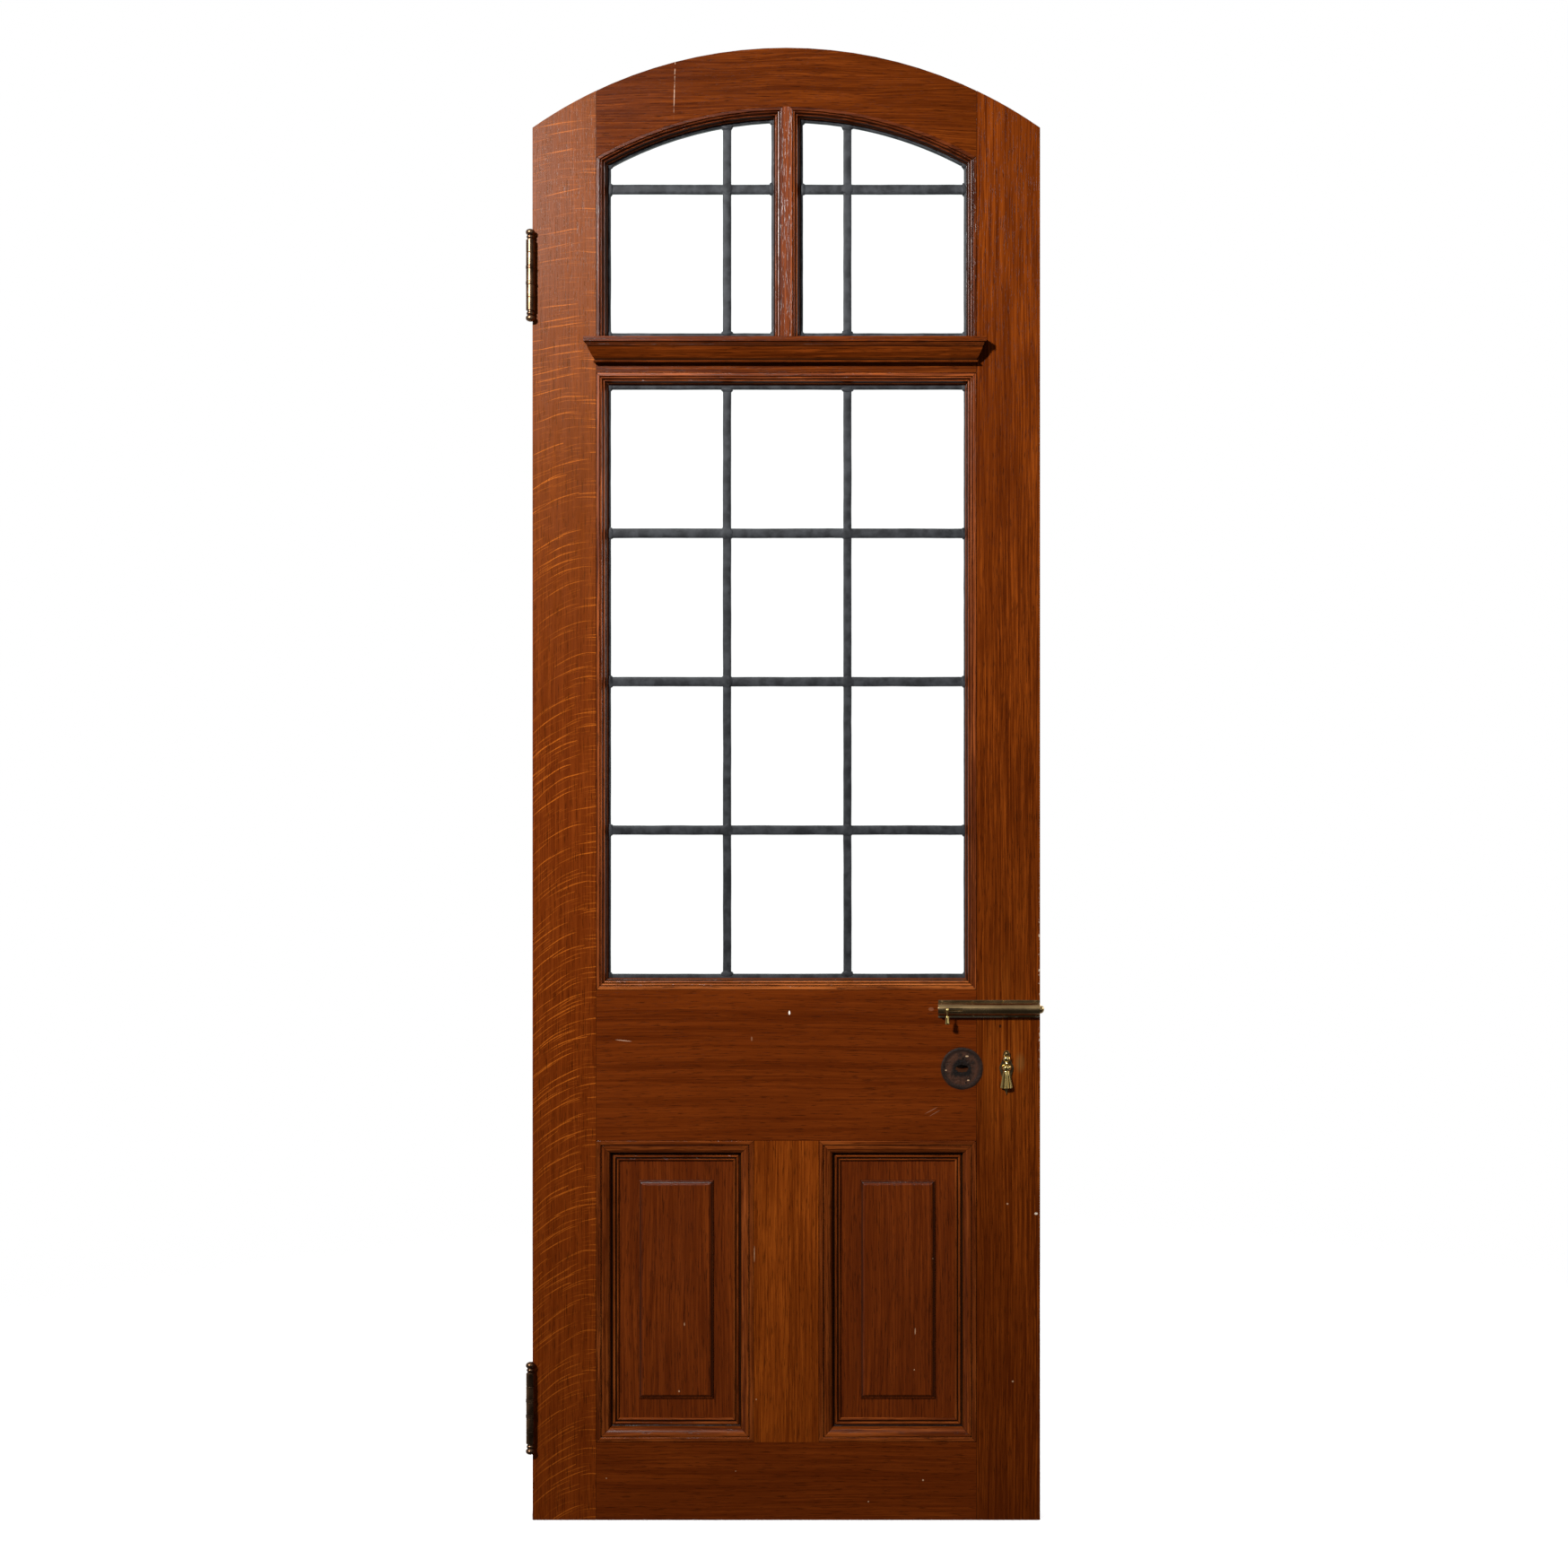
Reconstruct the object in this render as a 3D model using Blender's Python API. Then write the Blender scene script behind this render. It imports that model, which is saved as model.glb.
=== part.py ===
"""Arched external door of varnished oak with leaded lights above, two panels below and brass furniture.

Metres, +Z up. The outside face looks along -Y and the door hangs on its left edge.
The origin is the middle of the lower hinge's frame leaf, on the face that is screwed to the door frame.
Door pieces are drawn from the lower left corner of the outside face: X across, Y into the thickness, Z up.
"""

import math

import bmesh
import bpy
from mathutils import Matrix, Vector

OBJECT_NAME = "arched_glazed_external_door"

# Joinery, from the hinge edge across and from the bottom upwards
DOOR_WIDTH = 0.762
DOOR_THICKNESS = 0.0445
STILE_WIDTH = 0.0955
BOTTOM_RAIL_HEIGHT = 0.1165
PANEL_OPENING_HEIGHT = 0.453
LOCK_RAIL_HEIGHT = 0.226
LOWER_LIGHT_HEIGHT = 0.927
TRANSOM_HEIGHT = 0.0495
UPPER_LIGHT_SIDE_HEIGHT = 0.2744
TOP_RAIL_DEPTH = 0.088
HEAD_RADIUS = 0.665
MUNTIN_WIDTH = 0.097
MULLION_FACE_WIDTH = 0.0088
FIT_GAP = 0.0003
ARCH_STEPS = 24

# Seat of the leaded lights: planted moulding in front, solid lip behind
LIGHT_DEPTH = 0.014
LIP_WIDTH = 0.012
LIGHT_GROOVE_DEPTH = 0.006
LIGHT_PLAY = 0.0012
GLAZING_MOULDING_WIDTH = 0.0155

# Bottom panels
PANEL_DEPTH = 0.016
PANEL_THICKNESS = 0.012
PANEL_TONGUE = 0.0084
GROOVE_PLAY = 0.0012
PANEL_MOULDING_WIDTH = 0.033
FIELD_MARGIN = 0.062
FIELD_RISE = 0.006
FIELD_STEP_WIDTH = 0.0065

# Cornice planted on the transom
CORNICE_HEIGHT = 0.0365
CORNICE_BASE_DEPTH = 0.010
CORNICE_PROJECTION = 0.015

# Leaded lights
LEAD_THICKNESS = 0.007
BORDER_CAME_WIDTH = 0.018
HEAD_CAME_WIDTH = 0.0215
UPRIGHT_CAME_WIDTH = 0.012
CROSS_CAME_WIDTH = 0.014
LOWER_COLUMNS = 3
LOWER_ROWS = 4
UPPER_CAME_DROP = 0.045
GLASS_THICKNESS = 0.003
GLASS_COVER = 0.0045

# Butt hinges
HINGE_LENGTH = 0.106
HINGE_LEAF_WIDTH = 0.038
HINGE_LEAF_THICKNESS = 0.0028
HINGE_GAP = 0.003
HINGE_BARREL_RADIUS = 0.0064
HINGE_PIN_RADIUS = 0.0032
HINGE_BORE_PLAY = 0.0005
HINGE_PIN_STANDOFF = 0.0075
HINGE_WASHER_HEIGHT = 0.0042
HINGE_WASHER_LIP = 0.0006
HINGE_TIP_HEIGHT = 0.0165
HINGE_TIP_RADIUS = 0.0069
KNUCKLE_PLAY = 0.0003
HINGE_SIDES = 16
LOWER_HINGE_HEIGHT = 0.170
UPPER_HINGE_BELOW_SPRINGING = 0.180

# Barrel bolt
BOLT_PLATE_LENGTH = 0.1524
BOLT_PLATE_HEIGHT = 0.026
BOLT_PLATE_THICKNESS = 0.0025
BOLT_PLATE_EDGE = 0.0005
BOLT_BELOW_LIGHT = 0.028
BOLT_BARREL_RADIUS = 0.00875
BOLT_BARREL_SINK = 0.0018
BOLT_ROD_RADIUS = 0.0064
BOLT_ROD_PLAY = 0.0005
BOLT_END_WALL = 0.006
BOLT_NOSE = 0.0058
BOLT_TRAVEL = 0.020
BOLT_PEG_INSET = 0.014
BOLT_PEG_RADIUS = 0.0017
BOLT_PEG_REACH = 0.003
BOLT_SLOT_PLAY = 0.0004
BOLT_DROP_LENGTH = 0.0216
BOLT_DROP_RADIUS = 0.0039
BOLT_SIDES = 20

# Lock, its spindle hole and the keyhole with its swinging cover
SPINDLE_INSET = 0.1158
SPINDLE_HOLE_WIDTH = 0.0205
SPINDLE_HOLE_HEIGHT = 0.0118
SPINDLE_SQUARE = 0.008
KEYHOLE_INSET = 0.0505
KEYHOLE_DROP = 0.004
KEYHOLE_RADIUS = 0.0034
KEYHOLE_SLOT_WIDTH = 0.0036
KEYHOLE_SLOT_LENGTH = 0.0105
LOCK_CASE_LENGTH = 0.150
LOCK_CASE_HEIGHT = 0.076
LOCK_CASE_THICKNESS = 0.016
LOCK_FOREND_HEIGHT = 0.100
LOCK_FOREND_WIDTH = 0.025
LOCK_FOREND_THICKNESS = 0.003
COVER_PIN_RISE = 0.022
COVER_PIN_RADIUS = 0.0014
COVER_PIN_HEAD_RADIUS = 0.0023
COVER_PIN_HEAD_HEIGHT = 0.0014
COVER_PIN_PLAY = 0.0004
COVER_EYE_RADIUS = 0.0042
COVER_EYE_THICKNESS = 0.0026
COVER_HEIGHT = 0.0515
COVER_SKIRT_RADIUS = 0.0098
COVER_SIDES = 24
COVER_FLUTE_SHARE = 0.86
KEY_PLATE_THICKNESS = 0.0014
KEY_PLATE_RADIUS = 0.0105
KEY_PLATE_TOP_RADIUS = 0.0046
KEY_PLATE_TIP = 0.041

# Colours
OAK_PALE = (0.235, 0.085, 0.028)
OAK_MID = (0.150, 0.045, 0.012)
OAK_DARK = (0.100, 0.026, 0.007)
LEAD_GREY = (0.060, 0.064, 0.068)
GLASS_CLEAR = (0.90, 0.94, 0.93)
BRASS_AGED = (0.200, 0.135, 0.055)
BRASS_BRIGHT = (0.520, 0.370, 0.120)
BRONZE = (0.120, 0.080, 0.045)
IRON = (0.050, 0.045, 0.040)

# Places worked out from the sizes above
CENTRE_X = DOOR_WIDTH / 2
OPENING_LEFT = STILE_WIDTH
OPENING_RIGHT = DOOR_WIDTH - STILE_WIDTH
PANEL_BOTTOM = BOTTOM_RAIL_HEIGHT
PANEL_TOP = PANEL_BOTTOM + PANEL_OPENING_HEIGHT
LIGHT_BOTTOM = PANEL_TOP + LOCK_RAIL_HEIGHT
LIGHT_TOP = LIGHT_BOTTOM + LOWER_LIGHT_HEIGHT
TRANSOM_TOP = LIGHT_TOP + TRANSOM_HEIGHT
SPRINGING = TRANSOM_TOP + UPPER_LIGHT_SIDE_HEIGHT
SOFFIT_RADIUS = HEAD_RADIUS - TOP_RAIL_DEPTH
HALF_OPENING = CENTRE_X - OPENING_LEFT
ARCH_CENTRE_Z = SPRINGING - math.sqrt(SOFFIT_RADIUS**2 - HALF_OPENING**2)
CROWN = ARCH_CENTRE_Z + HEAD_RADIUS
MULLION_LEFT = CENTRE_X - MULLION_FACE_WIDTH / 2
MULLION_RIGHT = CENTRE_X + MULLION_FACE_WIDTH / 2
MUNTIN_LEFT = CENTRE_X - MUNTIN_WIDTH / 2
MUNTIN_RIGHT = CENTRE_X + MUNTIN_WIDTH / 2
LIP_FRONT = LIGHT_DEPTH + LEAD_THICKNESS + FIT_GAP
MOULDING_BACK = LIGHT_DEPTH - FIT_GAP
GROOVE_FRONT = PANEL_DEPTH - FIT_GAP
GROOVE_BACK = PANEL_DEPTH + PANEL_THICKNESS + FIT_GAP
GROOVE_DEPTH = PANEL_TONGUE + GROOVE_PLAY
LOCK_Z = PANEL_TOP + LOCK_RAIL_HEIGHT / 2
SPINDLE_X = DOOR_WIDTH - SPINDLE_INSET
KEYHOLE_X = DOOR_WIDTH - KEYHOLE_INSET
KEYHOLE_Z = LOCK_Z - KEYHOLE_DROP
MID_DEPTH = DOOR_THICKNESS / 2
LEAF_REACH = HINGE_LEAF_WIDTH - HINGE_PIN_STANDOFF

# Where the door, its hinge line and its origin stand in the whole
HINGE_EDGE_X = HINGE_LEAF_THICKNESS + HINGE_GAP
PIN_X = HINGE_LEAF_THICKNESS + HINGE_GAP / 2
FACE_Y = -LEAF_REACH / 2
PIN_Y = FACE_Y - HINGE_PIN_STANDOFF
DOOR_BOTTOM_Z = -LOWER_HINGE_HEIGHT
UPPER_HINGE_HEIGHT = SPRINGING - UPPER_HINGE_BELOW_SPRINGING

# How far cutting tools and uncut lengths run on past the piece they belong to
OVERRUN = 0.02
TURN_ON = 0.08
TOOL_STEPS = 8


def clear_scene():
    for old in list(bpy.data.objects):
        bpy.data.objects.remove(old)


def new_collection(name):
    made = bpy.data.collections.new(name)
    bpy.context.scene.collection.children.link(made)
    return made


def new_material(name, colour, roughness, metallic=0.0, alpha=1.0):
    material = bpy.data.materials.new(name)
    material.use_nodes = True
    shader = material.node_tree.nodes["Principled BSDF"]
    shader.inputs["Base Color"].default_value = (*colour, 1.0)
    shader.inputs["Roughness"].default_value = roughness
    shader.inputs["Metallic"].default_value = metallic
    shader.inputs["Alpha"].default_value = alpha
    material.diffuse_color = (*colour, alpha)
    return material


def new_empty(name, location, parent=None):
    empty = bpy.data.objects.new(name, None)
    PARTS.objects.link(empty)
    empty.location = location
    empty.parent = parent
    return empty


def add_object(name, mesh_work, parent, colour, roughness, metallic=0.0, alpha=1.0):
    """Makes the finished piece of a bmesh, with a material of its own."""
    bmesh.ops.recalc_face_normals(mesh_work, faces=mesh_work.faces)
    mesh = bpy.data.meshes.new(name)
    mesh_work.to_mesh(mesh)
    mesh_work.free()
    piece = bpy.data.objects.new(name, mesh)
    piece.data.materials.append(new_material(name, colour, roughness, metallic, alpha))
    piece.data.shade_smooth()
    piece.data.set_sharp_from_angle(angle=math.radians(32))
    PARTS.objects.link(piece)
    piece.parent = parent
    return piece


def boolean(piece, mesh_work, operation="DIFFERENCE"):
    """Cuts a bmesh from a piece, or joins it on, with an exact Boolean modifier."""
    bmesh.ops.recalc_face_normals(mesh_work, faces=mesh_work.faces)
    mesh = bpy.data.meshes.new(piece.name + "_tool")
    mesh_work.to_mesh(mesh)
    mesh_work.free()
    tool = bpy.data.objects.new(mesh.name, mesh)
    tool.hide_render = True
    tool.display_type = "WIRE"
    CUTTERS.objects.link(tool)
    tool.parent = piece.parent
    tool.location = piece.location
    modifier = piece.modifiers.new(operation.title(), "BOOLEAN")
    modifier.operation = operation
    modifier.solver = "EXACT"
    modifier.object = tool


def box(low, high):
    """A closed box between two corners."""
    low, high = Vector(low), Vector(high)
    place = Matrix.Translation((low + high) / 2) @ Matrix.Diagonal((*(high - low), 1.0))
    made = bmesh.new()
    bmesh.ops.create_cube(made, size=1.0, matrix=place)
    return made


def add_sweep(mesh_work, points, vector):
    """Adds a closed outline of 3-D points, extruded along a vector and capped at both ends."""
    corners = [mesh_work.verts.new(p) for p in points]
    loop = [mesh_work.edges.new((a, b)) for a, b in zip(corners, corners[1:] + corners[:1])]
    grown = bmesh.ops.extrude_edge_only(mesh_work, edges=loop)["geom"]
    moved = [item for item in grown if isinstance(item, bmesh.types.BMVert)]
    bmesh.ops.translate(mesh_work, verts=moved, vec=vector)
    far = [item for item in grown if isinstance(item, bmesh.types.BMEdge)]
    bmesh.ops.edgeloop_fill(mesh_work, edges=loop)
    bmesh.ops.edgeloop_fill(mesh_work, edges=[e for e in far if e.is_boundary])


def sweep(points, vector):
    made = bmesh.new()
    add_sweep(made, points, vector)
    return made


def along_x(section, x_from, x_to):
    """A (depth, height) section run across the door."""
    return sweep([(x_from, y, z) for y, z in section], (x_to - x_from, 0, 0))


def along_z(section, z_from, z_to):
    """An (across, depth) section run up the door."""
    return sweep([(x, y, z_from) for x, y in section], (0, 0, z_to - z_from))


def flat_shape(outline, front, back):
    """An (across, height) outline with its thickness from front to back."""
    return sweep([(x, front, z) for x, z in outline], (0, back - front, 0))


def spun(section, angle_from, angle_to, steps):
    """A (radius, depth) section turned about the arch centre. Angles are from upright, towards +X."""
    made = bmesh.new()
    corners = [made.verts.new((CENTRE_X, y, ARCH_CENTRE_Z + r)) for r, y in section]
    loop = [made.edges.new((a, b)) for a, b in zip(corners, corners[1:] + corners[:1])]
    centre = Vector((CENTRE_X, 0, ARCH_CENTRE_Z))
    turn = Matrix.Rotation(angle_from, 3, "Y")
    bmesh.ops.rotate(made, verts=corners, cent=centre, matrix=turn)
    bmesh.ops.spin(
        made, geom=corners + loop, cent=centre, axis=(0, 1, 0), angle=angle_to - angle_from, steps=steps
    )
    bmesh.ops.edgeloop_fill(made, edges=[e for e in made.edges if e.is_boundary])
    return made


def slice_off(mesh_work, point, normal):
    """Takes away what lies on the normal's side of a plane and closes the cut."""
    everything = mesh_work.verts[:] + mesh_work.edges[:] + mesh_work.faces[:]
    cut = bmesh.ops.bisect_plane(
        mesh_work, geom=everything, plane_co=point, plane_no=normal, clear_outer=True
    )["geom_cut"]
    bmesh.ops.edgeloop_fill(mesh_work, edges=[e for e in cut if isinstance(e, bmesh.types.BMEdge)])


def lathe(profile, sides, place):
    """A (radius, height) profile turned about Z, then put in place. It may start and end on the axis."""
    made = bmesh.new()
    points = [made.verts.new((r, 0, z)) for r, z in profile]
    edges = [made.edges.new(pair) for pair in zip(points, points[1:])]
    bmesh.ops.spin(
        made, geom=points + edges, cent=(0, 0, 0), axis=(0, 0, 1), angle=math.tau, steps=sides, use_merge=True
    )
    bmesh.ops.remove_doubles(made, verts=made.verts, dist=0.00001)
    bmesh.ops.transform(made, matrix=place, verts=made.verts)
    return made


def cylinder(radius, start, end, sides):
    """A closed cylinder between two points."""
    start, end = Vector(start), Vector(end)
    length = (end - start).length
    turn = Vector((0, 0, 1)).rotation_difference(end - start).to_matrix().to_4x4()
    made = bmesh.new()
    bmesh.ops.create_cone(
        made,
        cap_ends=True,
        segments=sides,
        radius1=radius,
        radius2=radius,
        depth=length,
        matrix=Matrix.Translation((start + end) / 2) @ turn,
    )
    return made


def arc(centre_u, centre_v, radius_u, radius_v, start, stop, steps):
    """Points on an arc of an ellipse, in degrees. 90 degrees is the side towards smaller v."""
    angles = [math.radians(start + (stop - start) * i / steps) for i in range(steps + 1)]
    return [(centre_u + radius_u * math.cos(a), centre_v - radius_v * math.sin(a)) for a in angles]


def arch_z(x, radius):
    """Height of an arc of the head at x."""
    return ARCH_CENTRE_Z + math.sqrt(radius**2 - (x - CENTRE_X) ** 2)


def arch_line(x_from, x_to, radius, steps):
    """Points along an arc of the head, both ends included."""
    return [
        (x, arch_z(x, radius))
        for x in (x_from + (x_to - x_from) * i / steps for i in range(steps + 1))
    ]


def scaled(shape, width, depth):
    """A moulding's shape, given as shares, at its real width and depth."""
    return [(u * width, v * depth) for u, v in shape]


def glazing_profile():
    """Band, quirk, bead and second bead, falling to the lead."""
    shape = [(0, 0.10), (0.03, 0.07), (0.30, 0.07), (0.34, 0.11), (0.36, 0.26)]
    shape += arc(0.475, 0.19, 0.085, 0.11, 180, 20, 4)
    shape += [(0.63, 0.33)]
    shape += arc(0.74, 0.37, 0.075, 0.09, 180, 10, 4)
    shape += [(0.86, 0.55), (0.93, 0.64), (1, 0.66), (1, 1), (0, 1)]
    return scaled(shape, GLAZING_MOULDING_WIDTH - FIT_GAP, MOULDING_BACK)


def panel_profile():
    """Fillet, quirk, broad ovolo, deep drop and two small beads."""
    shape = [(0, 0.06), (0.02, 0.02), (0.17, 0.02), (0.20, 0.06), (0.21, 0.18), (0.235, 0.18)]
    shape += arc(0.24, 0.58, 0.37, 0.51, 90, 8, 6)
    shape += [(0.62, 0.77), (0.70, 0.80)]
    shape += arc(0.775, 0.78, 0.055, 0.11, 170, 10, 3)
    shape += [(0.85, 0.88)]
    shape += arc(0.925, 0.87, 0.05, 0.09, 170, 10, 3)
    shape += [(1, 0.95), (1, 1), (0, 1)]
    return scaled(shape, PANEL_MOULDING_WIDTH - FIT_GAP, PANEL_DEPTH - FIT_GAP)


def cornice_profile():
    """Bead, swelling face, two fillets and a flat top edge, from the foot upwards."""
    shape = [(0, 0), (0.12, 0.012), (0.17, 0.045), (0.12, 0.078), (0.03, 0.095), (0.05, 0.13)]
    steps = 6
    for i in range(1, steps + 1):
        share = i / steps
        swell = 0.5 * share + 0.5 * math.sin(share * math.pi / 2)
        shape.append((0.05 + 0.62 * swell, 0.13 + 0.52 * share))
    shape += [(0.74, 0.66), (0.74, 0.72), (0.80, 0.73), (0.80, 0.79), (1, 0.80), (1, 1)]
    return shape


def moulding(profile, start, end, inward):
    """A moulding planted along an opening's edge from start to end, left long for its mitres."""
    start, end, inward = Vector(start), Vector(end), Vector(inward)
    along = (end - start).normalized()
    first = start - along * OVERRUN
    points = []
    for u, depth in profile:
        spot = first + inward * (u + FIT_GAP)
        points.append((spot.x, depth, spot.y))
    reach = end - start + along * 2 * OVERRUN
    return sweep(points, (reach.x, 0, reach.y))


def mitre(mesh_work, corner, inner, keep):
    """Cuts the end off along the line from an opening's corner to the moulding's inner corner."""
    corner, inner, keep = Vector(corner), Vector(inner), Vector(keep)
    line = (inner - corner).normalized()
    normal = Vector((line.y, -line.x))
    if normal.dot(keep - corner) > 0:
        normal = -normal
    point = corner - normal * FIT_GAP / 2
    slice_off(mesh_work, (point.x, 0, point.y), (normal.x, 0, normal.y))


def square_frame(names, profile, width, low, high, colour, parent):
    """Four mitred lengths of moulding round a rectangular opening: bottom, right, top and left."""
    (x0, z0), (x1, z1) = low, high
    corners = [(x0, z0), (x1, z0), (x1, z1), (x0, z1)]
    insides = [(x0 + width, z0 + width), (x1 - width, z0 + width)]
    insides += [(x1 - width, z1 - width), (x0 + width, z1 - width)]
    for i, name in enumerate(names):
        j = (i + 1) % 4
        inward = [(0, 1), (-1, 0), (0, -1), (1, 0)][i]
        length = moulding(profile, corners[i], corners[j], inward)
        keep = [(a + b + u * width) / 2 for a, b, u in zip(corners[i], corners[j], inward)]
        mitre(length, corners[i], insides[i], keep)
        mitre(length, corners[j], insides[j], keep)
        add_object(name, length, parent, colour, 0.34)


def stile_outline():
    """The hinge stile seen from the front, with the lips that the leaded lights lie against."""
    edge = OPENING_LEFT
    lip = edge + LIP_WIDTH
    low = LIGHT_BOTTOM + LIP_WIDTH + FIT_GAP
    high = LIGHT_TOP - LIP_WIDTH - FIT_GAP
    upper = TRANSOM_TOP + FIT_GAP
    outline = [(0, 0), (edge, 0), (edge, low), (lip, low), (lip, high), (edge, high)]
    outline += [(edge, upper), (lip, upper)]
    outline += arch_line(lip, edge, SOFFIT_RADIUS - LIP_WIDTH - FIT_GAP, 3)
    outline += arch_line(edge, 0, HEAD_RADIUS, 6)
    return outline


def hinge_recess(height):
    """Room for one door leaf, flush in the stile's edge."""
    half = HINGE_LENGTH / 2 + FIT_GAP
    return box(
        (-OVERRUN, -OVERRUN, height - half),
        (HINGE_LEAF_THICKNESS + FIT_GAP, LEAF_REACH + FIT_GAP, height + half),
    )


def mirrored(mesh_work):
    """Turns a left-hand shape into its right-hand twin about the door's centre line."""
    flip = Matrix.Translation((DOOR_WIDTH, 0, 0)) @ Matrix.Diagonal((-1, 1, 1, 1))
    bmesh.ops.transform(mesh_work, matrix=flip, verts=mesh_work.verts)
    bmesh.ops.reverse_faces(mesh_work, faces=mesh_work.faces)
    return mesh_work


def light_notch():
    """What is cleared in front of the lips for the leaded lights."""
    return box(
        (OPENING_LEFT, -OVERRUN, LIGHT_BOTTOM), (OPENING_LEFT + 2 * LIP_WIDTH, LIP_FRONT, CROWN)
    )


def stile_groove():
    """The groove that takes the edges of a bottom panel."""
    return box(
        (OPENING_LEFT - GROOVE_DEPTH, GROOVE_FRONT, PANEL_BOTTOM - GROOVE_DEPTH),
        (OPENING_LEFT + OVERRUN, GROOVE_BACK, PANEL_TOP + GROOVE_DEPTH),
    )


def keyhole_outline(play):
    """A round head over a narrow slot."""
    radius = KEYHOLE_RADIUS + play
    half = KEYHOLE_SLOT_WIDTH / 2 + play
    foot = KEYHOLE_Z - KEYHOLE_SLOT_LENGTH - play
    lean = math.degrees(math.asin(half / radius))
    ring = arc(KEYHOLE_X, KEYHOLE_Z, radius, radius, 90 + lean, 450 - lean, 12)
    return [*ring, (KEYHOLE_X + half, foot), (KEYHOLE_X - half, foot)]


def lock_pocket():
    """The mortice for the lock case and the shallow recess for its forend."""
    play = FIT_GAP
    half_depth = LOCK_CASE_THICKNESS / 2 + play
    half_height = LOCK_CASE_HEIGHT / 2 + play
    return box(
        (DOOR_WIDTH - LOCK_CASE_LENGTH - play, MID_DEPTH - half_depth, LOCK_Z - half_height),
        (DOOR_WIDTH + OVERRUN, MID_DEPTH + half_depth, LOCK_Z + half_height),
    )


def forend_recess():
    play = FIT_GAP
    half_depth = LOCK_FOREND_WIDTH / 2 + play
    half_height = LOCK_FOREND_HEIGHT / 2 + play
    return box(
        (DOOR_WIDTH - LOCK_FOREND_THICKNESS - play, MID_DEPTH - half_depth, LOCK_Z - half_height),
        (DOOR_WIDTH + OVERRUN, MID_DEPTH + half_depth, LOCK_Z + half_height),
    )


def build_frame(door):
    """Stiles, rails, muntin and mullion."""
    shape = flat_shape(stile_outline(), 0, DOOR_THICKNESS)
    stile = add_object("stile_hinge_side", shape, door, OAK_PALE, 0.32)
    boolean(stile, light_notch())
    boolean(stile, stile_groove())
    boolean(stile, hinge_recess(LOWER_HINGE_HEIGHT))
    boolean(stile, hinge_recess(UPPER_HINGE_HEIGHT))

    twin = mirrored(flat_shape(stile_outline(), 0, DOOR_THICKNESS))
    stile = add_object("stile_lock_side", twin, door, OAK_MID, 0.32)
    boolean(stile, mirrored(light_notch()))
    boolean(stile, mirrored(stile_groove()))
    boolean(stile, lock_pocket())
    boolean(stile, forend_recess())
    boolean(stile, flat_shape(keyhole_outline(FIT_GAP), -OVERRUN, DOOR_THICKNESS + OVERRUN))

    left = OPENING_LEFT + FIT_GAP
    right = OPENING_RIGHT - FIT_GAP
    back = DOOR_THICKNESS
    section = [(0, 0), (back, 0), (back, PANEL_BOTTOM), (GROOVE_BACK, PANEL_BOTTOM)]
    section += [(GROOVE_BACK, PANEL_BOTTOM - GROOVE_DEPTH), (GROOVE_FRONT, PANEL_BOTTOM - GROOVE_DEPTH)]
    section += [(GROOVE_FRONT, PANEL_BOTTOM), (0, PANEL_BOTTOM)]
    add_object("rail_bottom", along_x(section, left, right), door, OAK_DARK, 0.36)

    section = [(0, PANEL_TOP), (GROOVE_FRONT, PANEL_TOP), (GROOVE_FRONT, PANEL_TOP + GROOVE_DEPTH)]
    section += [(GROOVE_BACK, PANEL_TOP + GROOVE_DEPTH), (GROOVE_BACK, PANEL_TOP), (back, PANEL_TOP)]
    section += [(back, LIGHT_BOTTOM + LIP_WIDTH), (LIP_FRONT, LIGHT_BOTTOM + LIP_WIDTH)]
    section += [(LIP_FRONT, LIGHT_BOTTOM), (0, LIGHT_BOTTOM)]
    rail = add_object("rail_lock", along_x(section, left, right), door, OAK_DARK, 0.34)
    boolean(rail, lock_pocket())
    boolean(rail, spindle_hole())

    section = [(0, LIGHT_TOP), (LIP_FRONT, LIGHT_TOP), (LIP_FRONT, LIGHT_TOP - LIP_WIDTH)]
    section += [(back, LIGHT_TOP - LIP_WIDTH), (back, TRANSOM_TOP), (LIP_FRONT, TRANSOM_TOP)]
    groove_floor = TRANSOM_TOP - LIGHT_GROOVE_DEPTH
    section += [(LIP_FRONT, groove_floor), (MOULDING_BACK, groove_floor)]
    section += [(MOULDING_BACK, TRANSOM_TOP), (0, TRANSOM_TOP)]
    add_object("rail_transom", along_x(section, left, right), door, OAK_MID, 0.34)

    build_top_rail(door, left, right)
    build_muntin(door)
    build_mullion(door)


def spindle_hole():
    """The worn oval hole that the handle's spindle passed through."""
    ring = arc(SPINDLE_X, LOCK_Z, SPINDLE_HOLE_WIDTH / 2, SPINDLE_HOLE_HEIGHT / 2, 0, 337.5, 15)
    return flat_shape(ring, -OVERRUN, DOOR_THICKNESS + OVERRUN)


def build_top_rail(door, left, right):
    """The arched top rail, with its lip behind the lights, cut square to the stiles."""
    section = [(SOFFIT_RADIUS, 0), (HEAD_RADIUS, 0), (HEAD_RADIUS, DOOR_THICKNESS)]
    section += [(SOFFIT_RADIUS - LIP_WIDTH, DOOR_THICKNESS), (SOFFIT_RADIUS - LIP_WIDTH, LIP_FRONT)]
    section += [(SOFFIT_RADIUS, LIP_FRONT)]
    reach = math.asin(HALF_OPENING / (SOFFIT_RADIUS - LIP_WIDTH)) + TURN_ON
    rail = spun(section, -reach, reach, ARCH_STEPS)
    slice_off(rail, (left, 0, 0), (-1, 0, 0))
    slice_off(rail, (right, 0, 0), (1, 0, 0))
    add_object("rail_top_arched", rail, door, OAK_MID, 0.32)


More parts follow.
